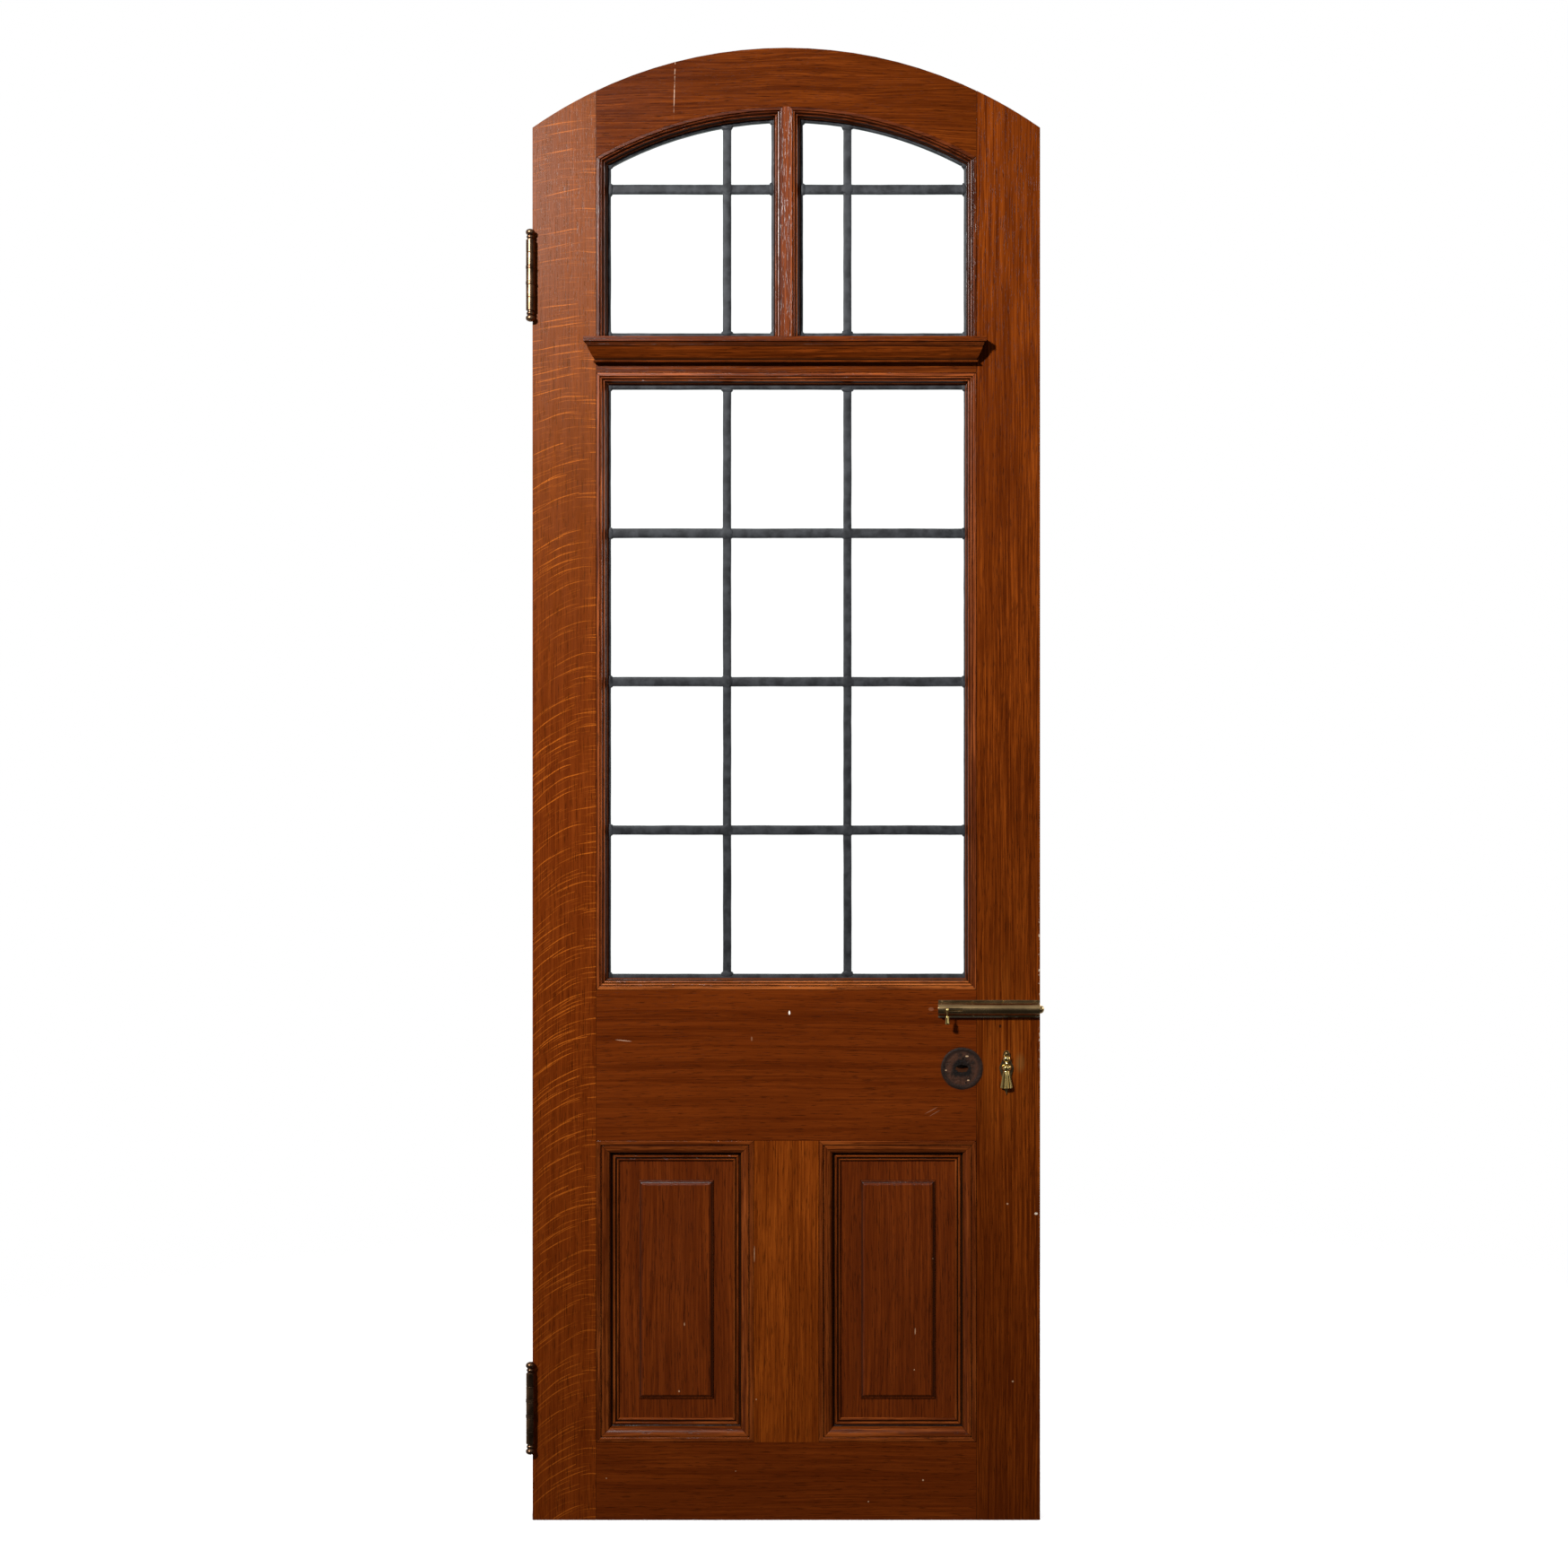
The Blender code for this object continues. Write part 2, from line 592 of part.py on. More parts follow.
def build_muntin(door):
    """The short upright between the two bottom panels, grooved on both edges."""
    left, right, back = MUNTIN_LEFT, MUNTIN_RIGHT, DOOR_THICKNESS
    section = [(left, 0), (right, 0), (right, GROOVE_FRONT), (right - GROOVE_DEPTH, GROOVE_FRONT)]
    section += [(right - GROOVE_DEPTH, GROOVE_BACK), (right, GROOVE_BACK), (right, back), (left, back)]
    section += [(left, GROOVE_BACK), (left + GROOVE_DEPTH, GROOVE_BACK)]
    section += [(left + GROOVE_DEPTH, GROOVE_FRONT), (left, GROOVE_FRONT)]
    muntin = along_z(section, PANEL_BOTTOM + FIT_GAP, PANEL_TOP - FIT_GAP)
    add_object("muntin_bottom", muntin, door, OAK_MID, 0.34)


def head_corner(x_outer, x_inner):
    """Outer and inner ends of the mitre between an upright moulding and the arched one."""
    inner_radius = SOFFIT_RADIUS - GLAZING_MOULDING_WIDTH
    return (x_outer, arch_z(x_outer, SOFFIT_RADIUS)), (x_inner, arch_z(x_inner, inner_radius))


def build_mullion(door):
    """The moulded bar between the two upper lights, mitred into the arched mouldings."""
    half = MULLION_FACE_WIDTH / 2
    right_side = [(half, 0)]
    right_side += [(half + u, v) for u, v in glazing_profile()[:-1]]
    right_side += [(half, MOULDING_BACK), (half, LIP_FRONT), (half + LIP_WIDTH, LIP_FRONT)]
    right_side += [(half + LIP_WIDTH, DOOR_THICKNESS)]
    left_side = [(-x, y) for x, y in reversed(right_side)]
    section = [(CENTRE_X + x, y) for x, y in right_side + left_side]
    bar = along_z(section, TRANSOM_TOP + FIT_GAP, CROWN)
    mullion = add_object("mullion_upper", bar, door, OAK_MID, 0.32)

    ring = [(SOFFIT_RADIUS - FIT_GAP, -OVERRUN), (HEAD_RADIUS + OVERRUN, -OVERRUN)]
    ring += [(HEAD_RADIUS + OVERRUN, 2 * DOOR_THICKNESS), (SOFFIT_RADIUS - FIT_GAP, 2 * DOOR_THICKNESS)]
    boolean(mullion, spun(ring, -TURN_ON, TURN_ON, TOOL_STEPS))
    lip_radius = SOFFIT_RADIUS - LIP_WIDTH - FIT_GAP
    lip_face = LIP_FRONT - FIT_GAP
    ring = [(lip_radius, lip_face), (HEAD_RADIUS + OVERRUN, lip_face)]
    ring += [(HEAD_RADIUS + OVERRUN, 2 * DOOR_THICKNESS), (lip_radius, 2 * DOOR_THICKNESS)]
    boolean(mullion, spun(ring, -TURN_ON, TURN_ON, TOOL_STEPS))

    corner, inner = head_corner(MULLION_RIGHT, MULLION_RIGHT + GLAZING_MOULDING_WIDTH)
    slope = (inner[1] - corner[1]) / (inner[0] - corner[0])
    start = (corner[0] + FIT_GAP / 2, corner[1] - FIT_GAP / 2)
    far_x = start[0] + 2 * GLAZING_MOULDING_WIDTH
    far_z = start[1] + slope * 2 * GLAZING_MOULDING_WIDTH
    wedge = [start, (far_x, far_z), (far_x, CROWN), (start[0], CROWN)]
    middle = (MOULDING_BACK + LIP_FRONT) / 2
    boolean(mullion, flat_shape(wedge, -OVERRUN, middle))
    boolean(mullion, mirrored(flat_shape(wedge, -OVERRUN, middle)))


def build_mouldings(door):
    """Planted mouldings round the lights and the panels, mitred at every corner."""
    names = [f"moulding_light_{side}" for side in ("bottom", "right", "top", "left")]
    square_frame(
        names,
        glazing_profile(),
        GLAZING_MOULDING_WIDTH,
        (OPENING_LEFT, LIGHT_BOTTOM),
        (OPENING_RIGHT, LIGHT_TOP),
        OAK_DARK,
        door,
    )
    for side, x0, x1 in (("left", OPENING_LEFT, MUNTIN_LEFT), ("right", MUNTIN_RIGHT, OPENING_RIGHT)):
        names = [f"moulding_panel_{side}_{edge}" for edge in ("bottom", "right", "top", "left")]
        low, high = (x0, PANEL_BOTTOM), (x1, PANEL_TOP)
        square_frame(names, panel_profile(), PANEL_MOULDING_WIDTH, low, high, OAK_DARK, door)
    for side in ("left", "right"):
        build_upper_mouldings(door, side)


def build_upper_mouldings(door, side):
    """The jamb and arched mouldings of one upper light, drawn for the left and mirrored for the right."""
    jamb_corner, jamb_inner = head_corner(OPENING_LEFT, OPENING_LEFT + GLAZING_MOULDING_WIDTH)
    bar_corner, bar_inner = head_corner(MULLION_LEFT, MULLION_LEFT - GLAZING_MOULDING_WIDTH)
    foot = TRANSOM_TOP + FIT_GAP

    jamb = moulding(glazing_profile(), (OPENING_LEFT, foot), jamb_corner, (1, 0))
    slice_off(jamb, (0, 0, foot), (0, 0, -1))
    mitre(jamb, jamb_corner, jamb_inner, (jamb_inner[0], foot))

    section = [(SOFFIT_RADIUS - FIT_GAP - u, depth) for u, depth in glazing_profile()]
    reach = math.asin(HALF_OPENING / (SOFFIT_RADIUS - GLAZING_MOULDING_WIDTH)) + TURN_ON
    head = spun(section, -reach, TURN_ON, ARCH_STEPS // 2)
    middle_x = (OPENING_LEFT + MULLION_LEFT) / 2
    keep = (middle_x, arch_z(middle_x, SOFFIT_RADIUS))
    mitre(head, jamb_corner, jamb_inner, keep)
    mitre(head, bar_corner, bar_inner, keep)
    if side == "right":
        jamb, head = mirrored(jamb), mirrored(head)
    add_object(f"moulding_upper_{side}_jamb", jamb, door, OAK_DARK, 0.34)
    add_object(f"moulding_upper_{side}_head", head, door, OAK_DARK, 0.34)


def build_cornice(door):
    """A cornice with returned ends, planted on the transom."""
    levels = scaled(cornice_profile(), CORNICE_PROJECTION, CORNICE_HEIGHT)
    base = TRANSOM_TOP - CORNICE_HEIGHT
    work = bmesh.new()
    back = -FIT_GAP
    front = -CORNICE_BASE_DEPTH
    plan = [(OPENING_LEFT, front), (OPENING_RIGHT, front), (OPENING_RIGHT, back), (OPENING_LEFT, back)]
    outward = [(-1, -1), (1, -1), (1, 0), (-1, 0)]
    loop = [work.verts.new((x, y, base)) for x, y in plan]
    edges = [work.edges.new((a, b)) for a, b in zip(loop, loop[1:] + loop[:1])]
    bmesh.ops.edgeloop_fill(work, edges=edges)
    reached = levels[0]
    for level in levels[1:]:
        grown = bmesh.ops.extrude_edge_only(work, edges=edges)["geom"]
        out = level[0] - reached[0]
        up = level[1] - reached[1]
        for vert in [v for v in grown if isinstance(v, bmesh.types.BMVert)]:
            side = nearest_corner(vert.co, plan)
            vert.co += Vector((outward[side][0] * out, outward[side][1] * out, up))
        edges = [e for e in grown if isinstance(e, bmesh.types.BMEdge) and e.is_boundary]
        reached = level
    bmesh.ops.edgeloop_fill(work, edges=edges)
    add_object("cornice_transom", work, door, OAK_MID, 0.34)


def nearest_corner(place, plan):
    """Which corner of a plan a point stands nearest to."""
    distances = [(Vector((x, y)) - place.xy).length for x, y in plan]
    return distances.index(min(distances))


def build_panels(door):
    """Two fielded panels, let into the grooves of the frame."""
    for side, x0, x1 in (("left", OPENING_LEFT, MUNTIN_LEFT), ("right", MUNTIN_RIGHT, OPENING_RIGHT)):
        low = (x0 - PANEL_TONGUE, PANEL_DEPTH, PANEL_BOTTOM - PANEL_TONGUE)
        high = (x1 + PANEL_TONGUE, PANEL_DEPTH + PANEL_THICKNESS, PANEL_TOP + PANEL_TONGUE)
        panel = box(low, high)
        face = min(panel.faces, key=lambda f: f.calc_center_median().y)
        margin = FIELD_MARGIN + PANEL_TONGUE
        inset(panel, face, margin, 0)
        inset(panel, face, FIELD_STEP_WIDTH * 0.10, FIELD_RISE * 0.45)
        inset(panel, face, FIELD_STEP_WIDTH * 0.25, 0)
        inset(panel, face, FIELD_STEP_WIDTH * 0.45, FIELD_RISE * 0.40)
        inset(panel, face, FIELD_STEP_WIDTH * 0.20, FIELD_RISE * 0.15)
        add_object(f"panel_{side}", panel, door, OAK_DARK, 0.34)


def inset(mesh_work, face, width, rise):
    """Insets the front face by a width and lifts it by a rise."""
    bmesh.ops.inset_region(mesh_work, faces=[face], thickness=width, use_even_offset=True)
    bmesh.ops.translate(mesh_work, verts=face.verts, vec=(0, -rise, 0))


def pane_outline(x0, x1, z0, z1, grow, radius=None):
    """One pane seen from the front, grown all round. With a radius its top follows the arch."""
    left, right, low = x0 - grow, x1 + grow, z0 - grow
    if radius is None:
        return [(left, low), (right, low), (right, z1 + grow), (left, z1 + grow)]
    return [(left, low), (right, low), *arch_line(right, left, radius + grow, 6)]


def leaded_light(name, outline, panes, door):
    """A network of lead cames as one solid, and one solid of glass for each opening in it."""
    front, back = LIGHT_DEPTH, LIGHT_DEPTH + LEAD_THICKNESS
    middle = (front + back) / 2
    lead = add_object(f"lead_{name}", flat_shape(outline, front, back), door, LEAD_GREY, 0.5, 0.7)
    openings, pockets = bmesh.new(), bmesh.new()
    half = GLASS_THICKNESS / 2
    for label, x0, x1, z0, z1, radius in panes:
        pocket = (pockets, GLASS_COVER + FIT_GAP, half + FIT_GAP)
        for work, grow, depth in ((openings, 0, LEAD_THICKNESS), pocket):
            shape = pane_outline(x0, x1, z0, z1, grow, radius)
            add_sweep(work, [(x, middle - depth, z) for x, z in shape], (0, 2 * depth, 0))
        glass = flat_shape(pane_outline(x0, x1, z0, z1, GLASS_COVER, radius), middle - half, middle + half)
        add_object(f"pane_{name}_{label}", glass, door, GLASS_CLEAR, 0.03, 0.0, 0.25)
    boolean(lead, openings)
    boolean(lead, pockets)


def came_columns():
    """Left and right edges of the clear glass in each column of the lower light."""
    first = OPENING_LEFT + LIGHT_PLAY + BORDER_CAME_WIDTH
    last = OPENING_RIGHT - LIGHT_PLAY - BORDER_CAME_WIDTH
    width = (last - first - (LOWER_COLUMNS - 1) * UPRIGHT_CAME_WIDTH) / LOWER_COLUMNS
    step = width + UPRIGHT_CAME_WIDTH
    return [(first + i * step, first + i * step + width) for i in range(LOWER_COLUMNS)]


def build_lower_light(door):
    """The tall light over the lock rail."""
    x0, x1 = OPENING_LEFT + LIGHT_PLAY, OPENING_RIGHT - LIGHT_PLAY
    z0, z1 = LIGHT_BOTTOM + LIGHT_PLAY, LIGHT_TOP - LIGHT_PLAY
    first, last = z0 + HEAD_CAME_WIDTH, z1 - HEAD_CAME_WIDTH
    height = (last - first - (LOWER_ROWS - 1) * CROSS_CAME_WIDTH) / LOWER_ROWS
    panes = []
    for row in range(LOWER_ROWS):
        low = first + row * (height + CROSS_CAME_WIDTH)
        for column, (left, right) in enumerate(came_columns()):
            label = f"row{row + 1}_col{column + 1}"
            panes.append((label, left, right, low, low + height, None))
    leaded_light("lower", pane_outline(x0, x1, z0, z1, 0), panes, door)


def build_upper_lights(door):
    """The two arched lights over the transom. Their upright cames stand over those of the lower light."""
    floor = TRANSOM_TOP - LIGHT_GROOVE_DEPTH + FIT_GAP
    glass_radius = SOFFIT_RADIUS - LIGHT_PLAY - BORDER_CAME_WIDTH
    came = SPRINGING - UPPER_CAME_DROP
    low, came_foot = floor + BORDER_CAME_WIDTH, came - CROSS_CAME_WIDTH / 2
    came_head = came + CROSS_CAME_WIDTH / 2
    columns = came_columns()
    outer, inner = columns[0], MULLION_LEFT - LIGHT_PLAY - BORDER_CAME_WIDTH
    left_columns = [("outer", *outer), ("inner", outer[1] + UPRIGHT_CAME_WIDTH, inner)]
    for side in ("left", "right"):
        edges = (OPENING_LEFT + LIGHT_PLAY, MULLION_LEFT - LIGHT_PLAY)
        spans = left_columns
        if side == "right":
            edges = (DOOR_WIDTH - edges[1], DOOR_WIDTH - edges[0])
            spans = [(label, DOOR_WIDTH - b, DOOR_WIDTH - a) for label, a, b in left_columns]
        outline = [(edges[0], floor), (edges[1], floor)]
        outline += arch_line(edges[1], edges[0], SOFFIT_RADIUS - LIGHT_PLAY, 12)
        panes = []
        for label, x0, x1 in spans:
            panes.append((f"low_{label}", x0, x1, low, came_foot, None))
            panes.append((f"head_{label}", x0, x1, came_head, None, glass_radius))
        leaded_light(f"upper_{side}", outline, panes, door)


def knuckle_levels():
    """Bottom and top of each knuckle, lowest first, about the hinge's middle."""
    spare = 2 * HINGE_WASHER_HEIGHT + 6 * KNUCKLE_PLAY
    height = (HINGE_LENGTH - spare) / 5
    levels, z = [], -HINGE_LENGTH / 2
    for i in range(5):
        levels.append((z, z + height))
        z += height + KNUCKLE_PLAY
        if i in (1, 2):
            z += HINGE_WASHER_HEIGHT + KNUCKLE_PLAY
    return levels


def hinge_tip(top):
    """Radius and height of the ball tip above the barrel's end, as shares of its size."""
    shape = [(0.62, 0), (0.62, 0.16), (0.80, 0.22), (0.80, 0.34), (0.58, 0.40), (0.97, 0.56)]
    shape += [(1.0, 0.70), (0.72, 0.92), (0, 1.0)]
    return [(r * HINGE_TIP_RADIUS, top + h * HINGE_TIP_HEIGHT) for r, h in shape]


def leaf_plate(x0, x1, own):
    """A leaf cut like a comb, so that it reaches the pin only beside its own knuckles."""
    shy = HINGE_BARREL_RADIUS + HINGE_BORE_PLAY
    plate = box((x0, shy, -HINGE_LENGTH / 2), (x1, HINGE_LEAF_WIDTH, HINGE_LENGTH / 2))
    fingers = [box((x0, 0, low), (x1, 2 * shy, high)) for low, high in own]
    return [plate, *fingers]


def build_hinge(label, height, fixed, door_side):
    """One butt hinge: the frame leaf carries the pin, its tips and three knuckles, the door leaf has two."""
    levels = knuckle_levels()
    outer, inner = levels[0::2], levels[1::2]
    half_gap = HINGE_GAP / 2

    profile = [(r, -z) for r, z in reversed(hinge_tip(HINGE_LENGTH / 2))]
    for i, (low, high) in enumerate(outer):
        if i == 1:
            under, over = low - KNUCKLE_PLAY / 2, high + KNUCKLE_PLAY / 2
            ring = HINGE_BARREL_RADIUS + HINGE_WASHER_LIP
            profile += [(HINGE_PIN_RADIUS, under - HINGE_WASHER_HEIGHT), (ring, under - HINGE_WASHER_HEIGHT)]
            profile += [(ring, under), (HINGE_BARREL_RADIUS, low), (HINGE_BARREL_RADIUS, high)]
            profile += [(ring, over), (ring, over + HINGE_WASHER_HEIGHT)]
            profile += [(HINGE_PIN_RADIUS, over + HINGE_WASHER_HEIGHT)]
            continue
        ends = [(HINGE_BARREL_RADIUS, low), (HINGE_BARREL_RADIUS, high)]
        if i == 0:
            profile += [*ends, (HINGE_PIN_RADIUS, high)]
        else:
            profile += [(HINGE_PIN_RADIUS, low), *ends]
    profile += hinge_tip(HINGE_LENGTH / 2)
    place = (PIN_X, PIN_Y, DOOR_BOTTOM_Z + height)
    barrel = lathe(profile, HINGE_SIDES, Matrix())
    leaf = add_object(f"hinge_{label}_frame_leaf", barrel, fixed, BRONZE, 0.35, 0.9)
    leaf.location = Vector(place) - fixed.location
    for shape in leaf_plate(-half_gap - HINGE_LEAF_THICKNESS, -half_gap, outer):
        boolean(leaf, shape, "UNION")

    (low, high), (low_two, high_two) = inner
    knuckle = cylinder(HINGE_BARREL_RADIUS, (0, 0, low), (0, 0, high), HINGE_SIDES)
    leaf = add_object(f"hinge_{label}_door_leaf", knuckle, door_side, BRONZE, 0.35, 0.9)
    leaf.location = (0, 0, DOOR_BOTTOM_Z + height - door_side.location.z)
    boolean(leaf, cylinder(HINGE_BARREL_RADIUS, (0, 0, low_two), (0, 0, high_two), HINGE_SIDES), "UNION")
    for shape in leaf_plate(half_gap, half_gap + HINGE_LEAF_THICKNESS, inner):
        boolean(leaf, shape, "UNION")
    bore = HINGE_PIN_RADIUS + HINGE_BORE_PLAY
    boolean(leaf, cylinder(bore, (0, 0, -HINGE_LENGTH), (0, 0, HINGE_LENGTH), HINGE_SIDES))


def build_bolt(door):
    """A barrel bolt on the outside face: plate with its barrel, sliding rod and hanging pull."""
    axis_z = LIGHT_BOTTOM - BOLT_BELOW_LIGHT
    plate_back = -FIT_GAP
    plate_front = plate_back - BOLT_PLATE_THICKNESS
    axis_y = plate_front - BOLT_BARREL_RADIUS + BOLT_BARREL_SINK
    right = DOOR_WIDTH - BOLT_PLATE_EDGE
    left = right - BOLT_PLATE_LENGTH
    half = BOLT_PLATE_HEIGHT / 2
    plate = box((left, plate_front, axis_z - half), (right, plate_back, axis_z + half))
    case = add_object("bolt_case", plate, door, BRASS_AGED, 0.35, 0.9)
    barrel = cylinder(BOLT_BARREL_RADIUS, (left, axis_y, axis_z), (right, axis_y, axis_z), BOLT_SIDES)
    slice_off(barrel, (0, (plate_front + plate_back) / 2, 0), (0, 1, 0))
    boolean(case, barrel, "UNION")
    bore = BOLT_ROD_RADIUS + BOLT_ROD_PLAY
    bore_start = left + BOLT_END_WALL
    bore_end = (right + OVERRUN, axis_y, axis_z)
    boolean(case, cylinder(bore, (bore_start, axis_y, axis_z), bore_end, BOLT_SIDES))
    slot = BOLT_PEG_RADIUS + BOLT_SLOT_PLAY
    peg_x = left + BOLT_PEG_INSET
    boolean(
        case,
        box(
            (peg_x - slot, axis_y - 2 * BOLT_BARREL_RADIUS, axis_z - slot),
            (peg_x + BOLT_TRAVEL + slot, axis_y, axis_z + slot),
        ),
    )

    start = bore_start + BOLT_ROD_PLAY
    end = DOOR_WIDTH + BOLT_NOSE
    dome = arc(0, 0, BOLT_ROD_RADIUS, BOLT_NOSE, 0, 90, 5)
    shoulder = end - BOLT_NOSE - start
    profile = [(0, 0), (BOLT_ROD_RADIUS, 0)]
    profile += [(r, shoulder - v) for r, v in dome]
    turn = Matrix.Rotation(math.pi / 2, 4, "Y")
    rod = lathe(profile, BOLT_SIDES, turn)
    slide = new_empty("bolt_slide", (start, axis_y, axis_z), door)
    add_object("bolt_rod", rod, slide, BRASS_AGED, 0.3, 0.9)

    near = -BOLT_ROD_RADIUS - FIT_GAP
    far = -BOLT_BARREL_RADIUS - BOLT_PEG_REACH
    peg = cylinder(BOLT_PEG_RADIUS, (0, near, 0), (0, far, 0), 10)
    pull = add_object("bolt_pull", peg, slide, BRASS_BRIGHT, 0.3, 0.9)
    pull.location = (peg_x - start, 0, 0)
    shape = [(0, -0.11), (0.44, -0.08), (0.62, 0), (0.44, 0.08), (0.29, 0.16), (0.29, 0.40)]
    shape += [(0.70, 0.45), (0.85, 0.52), (0.90, 0.76), (1.0, 0.92), (0.92, 0.98), (0, 1.0)]
    drop = [(r * BOLT_DROP_RADIUS, -h * BOLT_DROP_LENGTH) for r, h in shape]
    boolean(pull, lathe(drop, 12, Matrix.Translation((0, far, 0))), "UNION")


def build_lock(door):
    """The mortice lock: its case lies hidden in the wood, its forend shows on the door's edge."""
    half_height = LOCK_CASE_HEIGHT / 2
    half_depth = LOCK_CASE_THICKNESS / 2
    case = box(
        (DOOR_WIDTH - LOCK_CASE_LENGTH, MID_DEPTH - half_depth, LOCK_Z - half_height),
        (DOOR_WIDTH - LOCK_FOREND_THICKNESS / 2, MID_DEPTH + half_depth, LOCK_Z + half_height),
    )
    lock = add_object("mortice_lock", case, door, IRON, 0.5, 0.8)
    half_height = LOCK_FOREND_HEIGHT / 2
    half_depth = LOCK_FOREND_WIDTH / 2
    forend = box(
        (DOOR_WIDTH - LOCK_FOREND_THICKNESS, MID_DEPTH - half_depth, LOCK_Z - half_height),
        (DOOR_WIDTH, MID_DEPTH + half_depth, LOCK_Z + half_height),
    )
    boolean(lock, forend, "UNION")
    half = SPINDLE_SQUARE / 2
    square_hole = box(
        (SPINDLE_X - half, -OVERRUN, LOCK_Z - half),
        (SPINDLE_X + half, DOOR_THICKNESS + OVERRUN, LOCK_Z + half),
    )
    boolean(lock, square_hole)
    boolean(lock, flat_shape(keyhole_outline(FIT_GAP), -OVERRUN, DOOR_THICKNESS + OVERRUN))


def build_keyhole(door):
    """The keyhole plate with its pin, and the turned, fluted cover that swings on it."""
    pin_z = KEYHOLE_Z + COVER_PIN_RISE
    back = -FIT_GAP
    front = back - KEY_PLATE_THICKNESS
    lower = arc(0, 0, KEY_PLATE_RADIUS, KEY_PLATE_RADIUS, -25, 40, 4)
    upper = arc(0, -COVER_PIN_RISE, KEY_PLATE_TOP_RADIUS, KEY_PLATE_TOP_RADIUS, 15, 90, 3)
    right = [(0, KEY_PLATE_TIP), *lower, *upper]
    outline = [(KEYHOLE_X + x, KEYHOLE_Z - z) for x, z in right]
    outline += [(KEYHOLE_X - x, KEYHOLE_Z - z) for x, z in reversed(right[1:-1])]
    plate = add_object("keyhole_plate", flat_shape(outline, front, back), door, BRASS_AGED, 0.35, 0.9)
    boolean(plate, flat_shape(keyhole_outline(0), -OVERRUN, OVERRUN))
    eye_back = front - FIT_GAP
    eye_front = eye_back - COVER_EYE_THICKNESS
    root = (front + back) / 2
    shoulder = root - (eye_front - FIT_GAP)
    pin = [(0, 0), (COVER_PIN_RADIUS, 0), (COVER_PIN_RADIUS, shoulder), (COVER_PIN_HEAD_RADIUS, shoulder)]
    pin += [(0.9 * COVER_PIN_HEAD_RADIUS, shoulder + COVER_PIN_HEAD_HEIGHT / 2)]
    pin += [(0.5 * COVER_PIN_HEAD_RADIUS, shoulder + 0.85 * COVER_PIN_HEAD_HEIGHT)]
    pin += [(0, shoulder + COVER_PIN_HEAD_HEIGHT)]
    place = Matrix.Translation((KEYHOLE_X, root, pin_z)) @ Matrix.Rotation(math.pi / 2, 4, "X")
    boolean(plate, lathe(pin, 12, place), "UNION")

    swing = new_empty("keyhole_cover_pin", (KEYHOLE_X, eye_back, pin_z), door)
    shape = [(0, 0.055), (0.36, 0.07), (0.60, 0.115), (0.66, 0.165), (0.56, 0.215), (0.26, 0.255)]
    shape += [(0.29, 0.285), (0.27, 0.315), (0.50, 0.335), (0.76, 0.385), (0.79, 0.425), (0.70, 0.475)]
    shape += [(0.50, 0.505), (0.58, 0.53), (0.70, 0.68), (0.86, 0.86), (1.0, 0.985), (0.96, 1.0), (0, 1.0)]
    profile = [(r * COVER_SKIRT_RADIUS, -h * COVER_HEIGHT) for r, h in shape]
    cover = lathe(profile, COVER_SIDES, Matrix())
    flute(cover)
    slice_off(cover, (0, 0, 0), (0, 1, 0))
    cover = add_object("keyhole_cover", cover, swing, BRASS_BRIGHT, 0.25, 0.9)
    eye = cylinder(COVER_EYE_RADIUS, (0, 0, 0), (0, -COVER_EYE_THICKNESS, 0), 14)
    boolean(cover, eye, "UNION")
    hole = COVER_PIN_RADIUS + COVER_PIN_PLAY
    boolean(cover, cylinder(hole, (0, OVERRUN, 0), (0, -OVERRUN, 0), 14))
    clear = COVER_PIN_HEAD_RADIUS + COVER_PIN_PLAY
    boolean(cover, cylinder(clear, (0, -COVER_EYE_THICKNESS, 0), (0, -OVERRUN, 0), 14))


def flute(mesh_work):
    """Draws in every second column of points on the cover's skirt."""
    top = -0.515 * COVER_HEIGHT
    for vert in mesh_work.verts:
        radius = vert.co.xy.length
        if vert.co.z > top or radius < COVER_SKIRT_RADIUS * 0.3:
            continue
        column = round(math.atan2(vert.co.y, vert.co.x) / (math.tau / COVER_SIDES))
        if column % 2:
            vert.co.x *= COVER_FLUTE_SHARE
            vert.co.y *= COVER_FLUTE_SHARE


def build_door():
    frame = new_empty("door_frame_side", (0, 0, 0))
    pivot = new_empty("door_pivot", (PIN_X, PIN_Y, DOOR_BOTTOM_Z))
    door = new_empty("door_corner", (HINGE_EDGE_X - PIN_X, FACE_Y - PIN_Y, 0), pivot)
    build_frame(door)
    build_mouldings(door)
    build_cornice(door)
    build_panels(door)
    build_lower_light(door)
    build_upper_lights(door)
    build_hinge("lower", LOWER_HINGE_HEIGHT, frame, pivot)
    build_hinge("upper", UPPER_HINGE_HEIGHT, frame, pivot)
    build_bolt(door)
    build_lock(door)
    build_keyhole(door)


clear_scene()
PARTS = new_collection(OBJECT_NAME)
CUTTERS = new_collection("cutters")
build_door()
bpy.context.view_layer.update()
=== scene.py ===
"""Arched external door in varnished oak: joinery, leaded lights, brass furniture, light and camera."""

import math

import bmesh
import bpy
from mathutils import Matrix, Vector, noise


